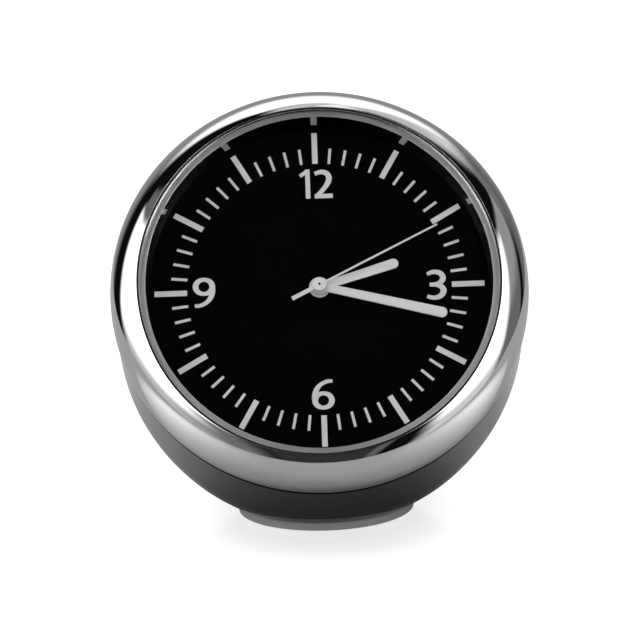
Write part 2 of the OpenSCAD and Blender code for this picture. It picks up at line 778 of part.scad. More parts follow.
module intermediate_wheel() {
    color("#d6bd7c") on_head() translate([middle_at[0], middle_at[1], 0]) {
        arbor();
        translate([0, 0, middle_gear_z]) gear(middle_gear, wheel_t, arbor_r - eps, 0, true);
        translate([0, 0, second_gear_z - leaf_more]) gear(middle_leaf, wheel_t + 2 * leaf_more,
            arbor_r - eps, mesh(middle_dir, second_gear[0], middle_leaf[0]));
    }
}

module rotor_pinion() {
    color("#c8a95e") on_head() translate([rotor_at[0], rotor_at[1], 0]) {
        arbor();
        translate([0, 0, middle_gear_z - leaf_more]) gear(rotor_leaf, wheel_t + 2 * leaf_more,
            arbor_r - eps, mesh(rotor_dir, middle_gear[0], rotor_leaf[0]));
    }
}

module rotor_magnet() {
    color("#55575a") on_head() translate([rotor_at[0], rotor_at[1], stator_z])
        ring(magnet_r, arbor_r, lamination_t);
}

shell();
foot_pad();
bezel();
crystal();
crystal_gasket();
rehaut_ring();
dial();
hour_markers();
minute_track();
module_case();
case_back();
movement_holder();
mainplate();
train_bridge();
bridge_screws();
stator();
coil_core();
coil_winding();
coil_screws();
circuit_board();
circuit_chip();
quartz_can();
battery();
battery_contact();
battery_clip();
stem_detent();
stem();
crown();
clutch_pinion();
second_hand();
second_wheel();
minute_hand();
cannon_pinion();
centre_wheel();
hour_hand();
hour_wheel();
third_wheel();
intermediate_wheel();
rotor_pinion();
rotor_magnet();
minute_wheel();
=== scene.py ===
"""Ball-shaped stick-on car clock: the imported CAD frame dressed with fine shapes, finishes and a studio."""
import json
import logging
import math
from dataclasses import dataclass, field
from enum import Enum
from typing import Any, Sequence

import bmesh
import bpy
import numpy as np
from mathutils import Matrix, Vector
from mathutils.geometry import tessellate_polygon


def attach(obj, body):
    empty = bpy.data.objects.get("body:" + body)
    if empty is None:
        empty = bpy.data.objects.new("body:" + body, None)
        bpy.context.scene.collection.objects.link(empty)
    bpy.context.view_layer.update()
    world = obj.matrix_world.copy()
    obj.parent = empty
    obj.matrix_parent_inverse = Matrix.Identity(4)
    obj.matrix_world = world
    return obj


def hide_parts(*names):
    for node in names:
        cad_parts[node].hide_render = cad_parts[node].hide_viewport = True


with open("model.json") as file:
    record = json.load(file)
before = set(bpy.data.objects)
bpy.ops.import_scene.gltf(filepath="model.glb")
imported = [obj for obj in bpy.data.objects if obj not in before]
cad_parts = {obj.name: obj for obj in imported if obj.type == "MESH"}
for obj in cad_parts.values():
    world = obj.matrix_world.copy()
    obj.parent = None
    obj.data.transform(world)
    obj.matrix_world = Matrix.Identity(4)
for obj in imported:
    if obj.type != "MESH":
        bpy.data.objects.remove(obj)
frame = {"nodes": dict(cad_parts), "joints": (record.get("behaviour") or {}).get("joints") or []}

log = logging.getLogger("car_clock")

MM = 0.001
# Points this close, in metres, are one
WELD = 1e-7
# Where nearly all of a noise texture's values lie
NOISE_SPAN = (0.3, 0.7)
Point = tuple[float, float]
Triple = tuple[float, float, float]
Loop = list[Point]
MeshData = tuple[list[Triple], list[tuple[int, ...]]]
Tree, Socket = bpy.types.NodeTree, bpy.types.NodeSocket


class Body(Enum):
    """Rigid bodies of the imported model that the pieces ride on."""

    SHELL = "shell"
    MODULE = "clock_module"
    CROWN = "setting_crown"
    SECOND = "second"
    MINUTE = "minute"
    HOUR = "hour"


class Marks(Enum):
    """Which of the sixty places round the dial a ring of bars is printed on."""

    HOURS = 1
    MINUTES = 0


@dataclass(frozen=True)
class HeadFrame:
    """The clock head's own frame in millimetres: z out of the dial, y towards twelve o'clock."""

    centre: Vector
    outward: Vector

    @classmethod
    def from_joint(cls, name: str) -> "HeadFrame":
        """Reads the frame, whose origin is the middle of the dial's face, from a hand's joint."""
        joint = next(j for j in frame["joints"] if j["name"] == name)
        return cls(Vector(joint["pos_m"]), -Vector(joint["axis"]).normalized())

    def turn(self) -> Matrix:
        """Rotation from head directions to world directions."""
        right = Vector((1, 0, 0))
        return Matrix((right, self.outward.cross(right), self.outward)).transposed()

    def matrix(self, turned_deg: float = 0.0) -> Matrix:
        """Head millimetres to world metres, after a turn about the head's axis."""
        place = Matrix.Translation(self.centre) @ self.turn().to_4x4() @ Matrix.Scale(MM, 4)
        return place @ Matrix.Rotation(math.radians(turned_deg), 4, "Z")


HEAD = HeadFrame.from_joint("second_hand_turn")


def linear(hex_colour: str) -> tuple[float, float, float, float]:
    """Turns an sRGB hex colour into linear red, green and blue, with an alpha of one."""
    parts = [int(hex_colour[i:i + 2], 16) / 255 for i in (1, 3, 5)]
    return (*[c / 12.92 if c <= 0.04045 else ((c + 0.055) / 1.055) ** 2.4 for c in parts], 1.0)


def cleared(owner: bpy.types.Material | bpy.types.World) -> Tree:
    """Turns on a material's or a world's nodes and empties its tree.

    Args:
        owner: The material or the world.

    Returns:
        Its empty node tree.
    """
    owner.use_nodes = True
    owner.node_tree.nodes.clear()
    return owner.node_tree


def node(tree: Tree, kind: str, feeds: dict[Any, Any] | None = None, **settings: Any) -> bpy.types.Node:
    """Adds a node with its settings, and links or values on its inputs.

    Args:
        tree: The node tree to add to.
        kind: The node's type name.
        feeds: Input name or index to another node's socket, or to a plain value.
        **settings: The node's own properties.

    Returns:
        The new node.
    """
    made = tree.nodes.new(kind)
    for key, value in settings.items():
        setattr(made, key, value)
    for socket, value in (feeds or {}).items():
        if isinstance(value, Socket):
            tree.links.new(value, made.inputs[socket])
        else:
            made.inputs[socket].default_value = value
    return made


def math_of(tree: Tree, operation: str, *values: Any) -> Socket:
    """Adds a Math node, fed with sockets or numbers in order."""
    return node(tree, "ShaderNodeMath", dict(enumerate(values)), operation=operation).outputs[0]


def vector_of(tree: Tree, operation: str, *values: Any) -> Socket:
    """Adds a Vector Math node, fed in order, and gives its vector, or its number where it makes one."""
    made = node(tree, "ShaderNodeVectorMath", dict(enumerate(values)), operation=operation)
    return made.outputs["Value" if operation in ("LENGTH", "DISTANCE") else "Vector"]


def vector(tree: Tree, x: Any = 0.0, y: Any = 0.0, z: Any = 0.0) -> Socket:
    """Joins three sockets or numbers into a vector."""
    return node(tree, "ShaderNodeCombineXYZ", {0: x, 1: y, 2: z}).outputs[0]


def product(tree: Tree, *factors: Any) -> Socket:
    """Multiplies sockets and numbers.

    Args:
        tree: The node tree to add to.
        *factors: What to multiply, from left to right.

    Returns:
        The product's socket.
    """
    total = factors[0]
    for factor in factors[1:]:
        total = math_of(tree, "MULTIPLY", total, factor)
    return total


def noise_of(tree: Tree, coords: Socket, grain: float, detail: float = 2.0) -> Socket:
    """Adds a noise whose grain is as wide as said, in the coordinates' unit."""
    feeds = {"Vector": coords, "Scale": 1 / grain, "Detail": detail}
    return node(tree, "ShaderNodeTexNoise", feeds).outputs["Fac"]


def ramp_of(tree: Tree, value: Any, start: float, end: float, low: float, high: float,
            smooth: bool = False) -> Socket:
    """Maps a value from start-end to low-high, clamped at both ends, straight or with a smooth step."""
    return node(tree, "ShaderNodeMapRange", {0: value, 1: start, 2: end, 3: low, 4: high},
                interpolation_type="SMOOTHSTEP" if smooth else "LINEAR", clamp=True).outputs[0]


@dataclass(frozen=True)
class Finish:
    """A surface as it was made: its substance, its gloss and its grain in real millimetres."""

    name: str
    colour: str
    metallic: float = 0.0
    roughness: float = 0.5
    ior: float = 1.5
    specular: float = 0.5
    grain_mm: float = 0.3
    grain_depth_mm: float = 0.002
    mottle_mm: float = 6.0
    tone: float = 0.06
    gloss_spread: float = 0.04

    def material(self) -> bpy.types.Material:
        """The finish's node material, built when it is first asked for.

        Returns:
            The material.
        """
        made = bpy.data.materials.get(self.name)
        if made:
            return made
        made = bpy.data.materials.new(self.name)
        tree = cleared(made)
        coords = self.coordinates(tree)
        mottle = noise_of(tree, coords, self.mottle_mm, detail=3.0)
        shade = ramp_of(tree, mottle, *NOISE_SPAN, 1 - self.tone, 1.0)
        colour = node(tree, "ShaderNodeMix", {6: linear(self.colour), 7: shade, 0: 1.0},
                      data_type="RGBA", blend_type="MULTIPLY")
        rough = ramp_of(tree, mottle, *NOISE_SPAN, self.roughness,
                        min(1.0, self.roughness + self.gloss_spread))
        bump = node(tree, "ShaderNodeBump", {"Strength": 1.0, "Distance": self.grain_depth_mm * MM,
                                             "Height": self.relief(tree, coords)})
        shader = node(tree, "ShaderNodeBsdfPrincipled", {
            "Base Color": colour.outputs[2], "Metallic": self.metallic, "Roughness": rough,
            "IOR": self.ior, "Specular IOR Level": self.specular, "Normal": bump.outputs[0]})
        self.dress(tree, shader)
        node(tree, "ShaderNodeOutputMaterial", {"Surface": shader.outputs[0]}).is_active_output = True
        return made

    def coordinates(self, tree: Tree) -> Socket:
        """Coordinates in the head's own millimetres, from the object's place."""
        back = HEAD.turn().transposed()
        return node(tree, "ShaderNodeMapping", {
            "Vector": node(tree, "ShaderNodeTexCoord").outputs["Object"], "Scale": (1 / MM,) * 3,
            "Rotation": tuple(back.to_euler()), "Location": tuple(-(back @ HEAD.centre) / MM)}).outputs[0]

    def relief(self, tree: Tree, coords: Socket) -> Socket:
        """Height of the surface's grain, zero to one: even grit here, other forms in the classes below."""
        return noise_of(tree, coords, self.grain_mm)

    def dress(self, tree: Tree, shader: bpy.types.Node) -> None:
        """Adds to the Principled shader what only one kind of finish has: nothing here."""


@dataclass(frozen=True)
class Turned(Finish):
    """Metal or plastic turned on a lathe, its fine grooves running round the head's axis."""

    groove_mm: float = 0.05
    drawn_out: float = 0.0

    def relief(self, tree: Tree, coords: Socket) -> Socket:
        """Grooves that change with the distance from the head's axis alone.

        Args:
            tree: The node tree to add to.
            coords: Coordinates in millimetres.

        Returns:
            The height's socket.
        """
        radius = vector_of(tree, "LENGTH", vector_of(tree, "MULTIPLY", coords, (1.0, 1.0, 0.0)))
        feeds = {"W": math_of(tree, "DIVIDE", radius, self.groove_mm), "Scale": 1.0, "Detail": 1.0}
        return node(tree, "ShaderNodeTexNoise", feeds, noise_dimensions="1D").outputs["Fac"]

    def dress(self, tree: Tree, shader: bpy.types.Node) -> None:
        """Draws the highlights out across the grooves.

        Args:
            tree: The node tree.
            shader: Its Principled shader.
        """
        where = node(tree, "ShaderNodeTexCoord").outputs["Object"]
        tree.links.new(vector_of(tree, "SUBTRACT", where, HEAD.centre), shader.inputs["Tangent"])
        shader.inputs["Anisotropic"].default_value = self.drawn_out


@dataclass(frozen=True)
class Clear(Finish):
    """Clear glass; its coating leaves only a share, glint, of the bare glass's reflection."""

    glint: float = 0.1

    def dress(self, tree: Tree, shader: bpy.types.Node) -> None:
        """Lets the light through and dims the mirror image."""
        shader.inputs["Transmission Weight"].default_value = 1.0
        shader.inputs["Specular Tint"].default_value = (self.glint, self.glint, self.glint, 1.0)


@dataclass(frozen=True)
class Brushed(Finish):
    """Metal with a straight brushed grain along the head's x axis."""

    stretch: float = 20.0

    def relief(self, tree: Tree, coords: Socket) -> Socket:
        """Grit drawn out into straight lines."""
        drawn_out = vector_of(tree, "MULTIPLY", coords, (1 / self.stretch, 1.0, 1.0))
        return noise_of(tree, drawn_out, self.grain_mm)


@dataclass(frozen=True)
class Wound(Finish):
    """Enamelled wire wound side by side along the head's y axis."""

    wire_mm: float = 0.12

    def relief(self, tree: Tree, coords: Socket) -> Socket:
        """One round ridge for each turn of wire."""
        along = node(tree, "ShaderNodeSeparateXYZ", {0: coords}).outputs[1]
        return math_of(tree, "ABSOLUTE", math_of(tree, "SINE", product(tree, along, math.pi / self.wire_mm)))


# High-gloss moulded ABS: deep black with mirror-like reflections and a trace of orange peel
GLOSS_BLACK = Finish("gloss_black_abs", "#0a0a0b", roughness=0.06, ior=1.53, grain_mm=2.5,
                     grain_depth_mm=0.0012, tone=0.15, gloss_spread=0.03)
# The same ABS as it leaves the unpolished core of the mould, inside the ball
MOULD_BLACK = Finish("mould_black_abs", "#101011", roughness=0.45, ior=1.53, grain_mm=0.4,
                     grain_depth_mm=0.004, tone=0.2, gloss_spread=0.1)
# Closed-cell foam pad with a skin: pale grey and dull, with cells of about a third of a millimetre
PAD_FOAM = Finish("pad_foam", "#969898", roughness=0.62, ior=1.45, grain_mm=0.35, grain_depth_mm=0.02,
                  mottle_mm=3.0, tone=0.08, gloss_spread=0.1)
# Chromium over polished nickel: darker than silver, and clear as a mirror
CHROME = Finish("chrome_plate", "#c3c4c5", metallic=1.0, roughness=0.025, grain_mm=1.6,
                grain_depth_mm=0.0003, mottle_mm=9.0, tone=0.02, gloss_spread=0.02)
# The same plate on the ring's flat top, left with the lathe's grooves under it, so it glows softly; its base
# colour is darker than the chrome's, a painted shade that keeps the flat dim
SATIN_PLATE_PAINTED_SHADE = Turned("satin_plate_painted_shade", "#9e9fa0", metallic=1.0, grain_depth_mm=0.003, tone=0.04,
                     gloss_spread=0.05, groove_mm=0.1, drawn_out=0.6)
# Polished wall of the inner ring
RING_MIRROR = Finish("ring_mirror", "#acadae", metallic=1.0, roughness=0.04, grain_mm=1.2,
                     grain_depth_mm=0.0003, tone=0.03, gloss_spread=0.02)
# Flat mineral glass, optically polished and coated against glare on both faces
MINERAL_GLASS = Clear("mineral_glass", "#ffffff", roughness=0.0, grain_mm=5.0, grain_depth_mm=0.00002,
                      tone=0.0, gloss_spread=0.0)
# Nitrile rubber: black, dull, with a slight bloom
RUBBER = Finish("nitrile_rubber", "#070708", roughness=0.6, ior=1.52, specular=0.25, grain_mm=0.12,
                grain_depth_mm=0.004, mottle_mm=2.0, tone=0.3, gloss_spread=0.15)
# Sprayed enamel on brass: a deep satin black that hardly shines under the coated glass
DIAL_ENAMEL = Finish("dial_enamel", "#020203", roughness=0.3, ior=1.45, specular=0.06, grain_mm=0.5,
                     grain_depth_mm=0.0004, mottle_mm=5.0, tone=0.15, gloss_spread=0.05)
# Pad print: a thin film of off-white ink, a little uneven
PAD_PRINT = Finish("pad_print", "#d9d9d9", roughness=0.55, grain_mm=0.08, grain_depth_mm=0.003,
                   mottle_mm=0.8, gloss_spread=0.1)
# Stamped brass hands in smooth white paint
HAND_PAINT = Finish("hand_paint", "#e2e2e0", roughness=0.32, grain_mm=0.15, grain_depth_mm=0.001,
                    mottle_mm=1.5, tone=0.04, gloss_spread=0.08)
# End of the hand's tube, where the paint stops: dark metal, a painted shade for the small pit
BORE_PAINTED_SHADE = Finish("bore_painted_shade", "#1d1c1b", metallic=1.0, roughness=0.45, grain_mm=0.04,
                   grain_depth_mm=0.001, mottle_mm=0.2, tone=0.2)
# Spark-eroded mould texture on black ABS
CASE_PLASTIC = Finish("case_plastic", "#151516", roughness=0.42, ior=1.53, grain_mm=0.12,
                      grain_depth_mm=0.006, mottle_mm=4.0, tone=0.15, gloss_spread=0.12)
# Natural acetal: milky, waxy plastic
ACETAL = Finish("acetal", "#dedacd", roughness=0.4, ior=1.48, tone=0.05)
# Brass plates with a grained face
GRAINED_BRASS = Brushed("grained_brass", "#d0b070", metallic=1.0, roughness=0.3, grain_mm=0.08, tone=0.1)
# Brass wheels, stamped and then faced on a lathe
WHEEL_BRASS = Turned("wheel_brass", "#dcbc78", metallic=1.0, roughness=0.2, grain_depth_mm=0.001,
                     groove_mm=0.1)
# Turned steel screws and arbors
TURNED_STEEL = Finish("turned_steel", "#a9abb0", metallic=1.0, roughness=0.25, grain_mm=0.05,
                      grain_depth_mm=0.001, tone=0.08)
# Annealed soft iron: dull grey scale
SOFT_IRON = Finish("soft_iron", "#86878a", metallic=1.0, roughness=0.48, grain_mm=0.1,
                   grain_depth_mm=0.003, mottle_mm=1.2, tone=0.2)
# Enamelled copper wire
COPPER_WIRE = Wound("copper_wire", "#b4622f", metallic=1.0, roughness=0.25, grain_depth_mm=0.03, tone=0.1)
# Solder mask over fibreglass
SOLDER_MASK = Finish("solder_mask", "#175230", roughness=0.25, grain_mm=0.25, grain_depth_mm=0.003,
                     mottle_mm=1.0, tone=0.12)
# Moulded epoxy
EPOXY = Finish("epoxy", "#111112", roughness=0.6, ior=1.55, grain_mm=0.05, tone=0.2)
# Bright nickel on drawn steel
NICKEL = Finish("bright_nickel", "#cfccc4", metallic=1.0, roughness=0.16, grain_mm=0.2,
                grain_depth_mm=0.0008, mottle_mm=2.5)
# Gold flash on spring brass
GOLD_FLASH = Finish("gold_flash", "#e0b95a", metallic=1.0, roughness=0.2, grain_mm=0.1, grain_depth_mm=0.001)
# Sintered magnet: dark and granular
SINTERED = Finish("sintered_magnet", "#58595d", metallic=0.7, roughness=0.55, grain_mm=0.06,
                  grain_depth_mm=0.004, tone=0.25)


def linked(name: str, data: bpy.types.Mesh | bpy.types.Camera) -> bpy.types.Object:
    """Makes an object and links it to the scene.

    Args:
        name: The object's name.
        data: Its mesh or its camera.

    Returns:
        The object.
    """
    made = bpy.data.objects.new(name, data)
    bpy.context.scene.collection.objects.link(made)
    return made


def mesh_of(name: str, data: MeshData, place: Matrix | None = None) -> bpy.types.Mesh:
    """Makes a mesh of points and faces.

    Args:
        name: The mesh's name.
        data: The points and faces.
        place: Matrix from the points' own frame to world metres, if they aren't in that.

    Returns:
        The mesh in world metres.
    """
    mesh = bpy.data.meshes.new(name)
    mesh.from_pydata([Vector(p) for p in data[0]], [], data[1])
    if place is not None:
        mesh.transform(place)
    return mesh


@dataclass(frozen=True)
class Piece:
    """A visible piece: its body, a material slot name that nothing reads, its finishes and the CAD nodes it
    stands for.
    """

    name: str
    body: Body
    slot: str
    finishes: tuple[Finish, ...]
    nodes: tuple[str, ...] = ()
    sharp_deg: float = 35.0

    def from_data(self, data: MeshData, place: Matrix, worn: Sequence[int] | None = None) -> None:
        """Makes the piece of points and faces.

        Args:
            data: The points and faces.
            place: Matrix from the points' own frame to world metres.
            worn: Which finish each face wears, where there are several.
        """
        mesh = mesh_of(self.name, data, place)
        if worn is not None:
            mesh.polygons.foreach_set("material_index", list(worn))
        self.from_mesh(mesh)

    def from_mesh(self, mesh: bpy.types.Mesh) -> None:
        """Cleans a mesh in world metres, links it as an object at the origin and ties it to the model.

        Args:
            mesh: The mesh, with a material index on each face where there are several finishes.
        """
        work = bmesh.new()
        work.from_mesh(mesh)
        bmesh.ops.remove_doubles(work, verts=work.verts, dist=WELD)
        bmesh.ops.recalc_face_normals(work, faces=work.faces)
        work.to_mesh(mesh)
        work.free()
        worn = np.zeros(len(mesh.polygons), np.int32)
        if len(self.finishes) > 1:
            mesh.polygons.foreach_get("material_index", worn)
        mesh.materials.clear()
        for finish in self.finishes:
            mesh.materials.append(finish.material())
        mesh.polygons.foreach_set("material_index", worn)
        mesh.shade_smooth()
        mesh.set_sharp_from_angle(angle=math.radians(self.sharp_deg))
        made = linked(self.name, mesh)
        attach(made, self.body.value)
        if self.nodes:
            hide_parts(*self.nodes)
        log.info("%s: %d faces on %s, for %s", self.name, len(mesh.polygons), self.body.value,
                 ", ".join(self.nodes) or "no node")


def arc(centre: Point, radius: float, start_deg: float, end_deg: float, steps: int) -> Loop:
    """Points along an arc of so many chords, counterclockwise from +x, both ends among them."""
    turns = np.radians(np.linspace(start_deg, end_deg, steps + 1))
    return [(centre[0] + radius * math.cos(t), centre[1] + radius * math.sin(t)) for t in turns]


def soften(points: Loop, radius: float, steps: int = 3, closed: bool = True) -> Loop:
    """Rounds the corners of a profile, with a close pair of points where each rounding meets a flat.

    Args:
        points: The profile.
        radius: The radius of the rounding.
        steps: The chords in each rounded corner.
        closed: False for an open profile, whose ends are kept.

    Returns:
        The rounded profile, whose flats stay flat under smooth shading.
    """
    straight, longest, pair, closest = math.radians(20), 0.4, 0.25, 0.05
    result: Loop = []
    for i, point in enumerate(points):
        corner = Vector(point)
        back, ahead = Vector(points[i - 1]) - corner, Vector(points[(i + 1) % len(points)]) - corner
        turn = math.pi - back.angle(ahead)
        if turn < straight or (not closed and i in (0, len(points) - 1)):
            result.append(point)
            continue
        cut = min(radius * math.tan(turn / 2), back.length * longest, ahead.length * longest)
        start, end = corner + back.normalized() * cut, corner + ahead.normalized() * cut
        result.append(tuple(start + back.normalized() * min(pair * cut, back.length * closest)))
        for t in (k / steps for k in range(steps + 1)):
            result.append(tuple(start * (1 - t) ** 2 + corner * (2 * t * (1 - t)) + end * t * t))
        result.append(tuple(end + ahead.normalized() * min(pair * cut, ahead.length * closest)))
    return result


def lathe(profile: Loop, segments: int) -> MeshData:
    """Turns a profile of (radius, height) points about the z axis.

    Args:
        profile: The points; they start on the axis, or are a ring's, whose last joins its first.
        segments: The faces round the axis.

    Returns:
        Points and faces, row by row along the profile.
    """
    turns = np.linspace(0, 2 * math.pi, segments, endpoint=False)
    points: list[Triple] = []
    rows: list[list[int]] = []
    for radius, height in profile:
        around = turns if radius > 1e-6 else turns[:1]
        rows.append(list(range(len(points), len(points) + len(around))))
        points.extend((radius * math.cos(t), radius * math.sin(t), height) for t in around)
    faces = []
    for low, high in zip(rows, rows[1:] + (rows[:1] if profile[0][0] > 0 else [])):
        for i in range(segments):
            j = (i + 1) % segments
            faces.append(tuple(dict.fromkeys((low[i % len(low)], low[j % len(low)],
                                              high[j % len(high)], high[i % len(high)]))))
    return points, faces


def inset(loop: Loop, amount: float) -> Loop:
    """Moves an outline to its left, which is inwards for a counterclockwise one.

    Args:
        loop: The closed outline.
        amount: How far it moves.

    Returns:
        The moved outline.
    """
    sharpest = 0.5
    result = []
    for i, point in enumerate(loop):
        here, after = Vector(point), Vector(loop[(i + 1) % len(loop)])
        first, second = (here - Vector(loop[i - 1])).normalized(), (after - here).normalized()
        across = Vector((-(first.y + second.y), first.x + second.x)).normalized()
        share = max(sharpest, across.dot(Vector((-first.y, first.x))))
        result.append(tuple(here + across * (amount / share)))
    return result


def prism(loops: Sequence[Loop], low: float, high: float, chamfer: float = 0.0) -> MeshData:
    """Raises outlines into a solid, its upper edges chamfered.

    Args:
        loops: The outline, counterclockwise, and its holes, clockwise.
        low: The height of its bottom.
        high: The height of its top.
        chamfer: The width of the chamfer round the top.

    Returns:
        Points and faces.
    """
    levels = [(low, 0.0), (high - chamfer, 0.0), (high, chamfer)] if chamfer else [(low, 0.0), (high, 0.0)]
    points: list[Triple] = []
    layers: list[list[list[int]]] = []
    for height, step in levels:
        layers.append([])
        for loop in loops:
            moved = inset(loop, step) if step else loop
            layers[-1].append(list(range(len(points), len(points) + len(moved))))
            points.extend((x, y, height) for x, y in moved)
    faces = []
    for lower, upper in zip(layers, layers[1:]):
        for a, b in zip(lower, upper):
            faces.extend((a[i - 1], a[i], b[i], b[i - 1]) for i in range(len(a)))
    for layer, way in ((layers[0], -1), (layers[-1], 1)):
        flat = [[Vector((*points[i][:2], 0.0)) for i in ring] for ring in layer]
        index = [i for ring in layer for i in ring]
        faces.extend(tuple(index[k] for k in tri)[::way] for tri in tessellate_polygon(flat))
    return points, faces


def joined(*parts: MeshData) -> MeshData:
    """Puts several meshes in one list of points and one of faces.

    Args:
        *parts: The meshes' points and faces.

    Returns:
        All the points and faces.
    """
    points: list[Triple] = []
    faces: list[tuple[int, ...]] = []
    for some_points, some_faces in parts:
        faces.extend(tuple(i + len(points) for i in f) for f in some_faces)
        points.extend(some_points)
    return points, faces


@dataclass
class Housing:
    """The black ball shell, a shadow groove behind its bezel, and its pad, in millimetres."""

    ball_r: float = 19.6
    mouth_r: float = 18.0
    rim_r: float = 19.8
    rim_z: float = -0.749
    ball_back: float = 10.4289
    step_z: float = -1.75
    groove_r: float = 19.5
    lip_round: float = 0.06
    flat_z: float = 0.8
    floor_z: float = 2.4
    pad_r: float = 8.5
    pad_round: float = 0.12
    outer_steps: int = 84
    inner_steps: int = 60
    segments: int = 288
    pad_segments: int = 192

    def build(self) -> None:
        """Builds the shell and the pad."""
        self.shell()
        self.pad()

    def skin(self, profile: Loop, cut_z: float, worn: int) -> bpy.types.Mesh:
        """Turns one skin of the shell and cuts it flat underneath.

        Args:
            profile: From the pole behind to the rim.
            cut_z: World height in millimetres of the flat.
            worn: Which of the shell's finishes it wears.

        Returns:
            The skin in world metres, open at the rim only.
        """
        mesh = mesh_of("skin", lathe(profile, self.segments), HEAD.matrix())
        work = bmesh.new()
        work.from_mesh(mesh)
        bmesh.ops.bisect_plane(work, geom=work.verts[:] + work.edges[:] + work.faces[:], dist=WELD,
                               plane_co=(0, 0, cut_z * MM), plane_no=(0, 0, -1), clear_outer=True)
        just_above = (cut_z + 0.01) * MM
        edge = [e for e in work.edges if e.is_boundary and max(v.co.z for v in e.verts) < just_above]
        bmesh.ops.contextual_create(work, geom=edge)
        for face in work.faces:
            face.material_index = worn
        work.to_mesh(mesh)
        work.free()
        return mesh

    def shell(self) -> None:
        """Ball with a straight neck, hollow, open at the mouth."""
        middle = (0.0, -self.ball_back)
        outer = arc(middle, self.ball_r, -90, 0, self.outer_steps)
        inner = arc(middle, self.mouth_r, -90, 0, self.inner_steps) + [(self.mouth_r, self.rim_z)]
        for side in (outer, inner):
            side[0] = (0.0, side[0][1])
        rim = soften([outer[-1], (self.rim_r, self.step_z), (self.groove_r, self.step_z),
                      (self.groove_r, self.rim_z), (self.mouth_r, self.rim_z)], self.lip_round, closed=False)
        whole = bmesh.new()
        for worn, (profile, cut) in enumerate(((outer + rim[1:], self.flat_z), (inner, self.floor_z))):
            mesh = self.skin(profile, cut, worn)
            whole.from_mesh(mesh)
            bpy.data.meshes.remove(mesh)
        mesh = bpy.data.meshes.new("shell_ball")
        whole.to_mesh(mesh)
        whole.free()
        ball = Piece("shell_ball", Body.SHELL, "shell_black", (GLOSS_BLACK, MOULD_BLACK), ("shell",),
                     sharp_deg=30)
        ball.from_mesh(mesh)

    def pad(self) -> None:
        """Round pad, its edges a little soft."""
        profile = soften([(0, 0), (self.pad_r, 0), (self.pad_r, self.flat_z), (0, self.flat_z)],
                         self.pad_round, steps=4, closed=False)
        Piece("foot_disc", Body.SHELL, "foot_pad", (PAD_FOAM,), ("foot_pad",)).from_data(
            lathe(profile, self.pad_segments), Matrix.Scale(MM, 4))


@dataclass
class Front:
    """Bezel, crystal, gasket and the polished ring round the dial, in head millimetres."""

    opening_r: float = 17.33
    bezel_r: float = 19.95
    arc_centre: Point = (16.25, -0.44887)
    arc_r: float = 3.7
    back_z: float = -0.69887
    sleeve_r: float = 17.92
    collar_z: float = 1.6
    wall: float = 0.6
    groove: float = 1.3
    bezel_round: float = 0.07
    crystal_r: float = 17.15
    seat_z: float = 2.4
    crystal_t: float = 0.8
    crystal_bevel: float = 0.1
    gasket_top: float = 3.04
    gasket_round: float = 0.06
    ring_in_r: float = 16.15
    ring_top_r: float = 16.5
    flange_r: float = 17.3
    dial_r: float = 17.0
    edge_w: float = 0.06
    edge_drop: float = 0.014
    fine_round: float = 0.02
    hairline: float = 0.008
    arc_steps: int = 72
    segments: int = 384

    def build(self) -> None:
        """Builds the three rings and the glass."""
        self.bezel()
        self.crystal()
        self.gasket()
        self.ring()

    def bezel(self) -> None:
        """Quarter-round chrome ring with a cored groove underneath."""
        lip = math.degrees(math.acos((self.opening_r - self.arc_centre[0]) / self.arc_r))
        inner, outer, core = self.sleeve_r + self.wall, self.bezel_r - self.wall, self.back_z + self.groove
        profile = arc(self.arc_centre, self.arc_r, lip, 0, self.arc_steps) + [
            (self.bezel_r, self.back_z), (outer, self.back_z), (outer, core), (inner, core),
            (inner, self.back_z), (self.sleeve_r, self.back_z), (self.sleeve_r, self.collar_z),
            (self.opening_r, self.collar_z)]
        Piece("bezel_ring", Body.MODULE, "bezel_chrome", (CHROME,), ("bezel",), sharp_deg=40).from_data(
            lathe(soften(profile, self.bezel_round, steps=4), self.segments), HEAD.matrix())

    def crystal(self) -> None:
        """Flat glass with a ground bevel, a hair above its seat."""
        radius, low = self.crystal_r - self.hairline, self.seat_z + self.hairline
        top = self.seat_z + self.crystal_t
        profile = [(0, low), (radius, low), (radius, top - self.crystal_bevel),
                   (radius - self.crystal_bevel, top), (0, top)]
        Piece("crystal_disc", Body.MODULE, "crystal_glass", (MINERAL_GLASS,), ("crystal",)).from_data(
            lathe(soften(profile, self.fine_round, steps=2, closed=False), self.segments), HEAD.matrix())

    def gasket(self) -> None:
        """Thin rubber ring between the glass and the chrome, its top edge rounded."""
        outer = self.opening_r - self.hairline
        profile = [(self.crystal_r, self.seat_z), (outer, self.seat_z), (outer, self.gasket_top),
                   (self.crystal_r, self.gasket_top)]
        Piece("gasket_ring", Body.MODULE, "gasket_rubber", (RUBBER,), ("crystal_gasket",)).from_data(
            lathe(soften(profile, self.gasket_round), self.segments), HEAD.matrix())

    def ring(self) -> None:
        """Sloping mirror wall round the dial, with a satin flat top darkened by painted shade, and a thin
        polished edge.
        """
        top = self.seat_z - self.hairline
        low, just_below = top - self.edge_drop, top - 0.001
        profile = soften([(self.ring_in_r, 0.0), (self.ring_top_r, top), (self.crystal_r - self.edge_w, top),
                          (self.crystal_r, low), (self.flange_r, low), (self.flange_r, self.collar_z),
                          (self.dial_r, self.collar_z), (self.dial_r, 0.0)], self.fine_round, steps=2)
        worn: list[int] = []
        for here, after in zip(profile, profile[1:] + profile[:1]):
            worn.extend([int(min(here[1], after[1]) > just_below)] * self.segments)
        ring = Piece("rehaut", Body.MODULE, "rehaut_chrome", (RING_MIRROR, SATIN_PLATE_PAINTED_SHADE), ("rehaut_ring",),
                     sharp_deg=25)
        ring.from_data(lathe(profile, self.segments), HEAD.matrix(), worn)


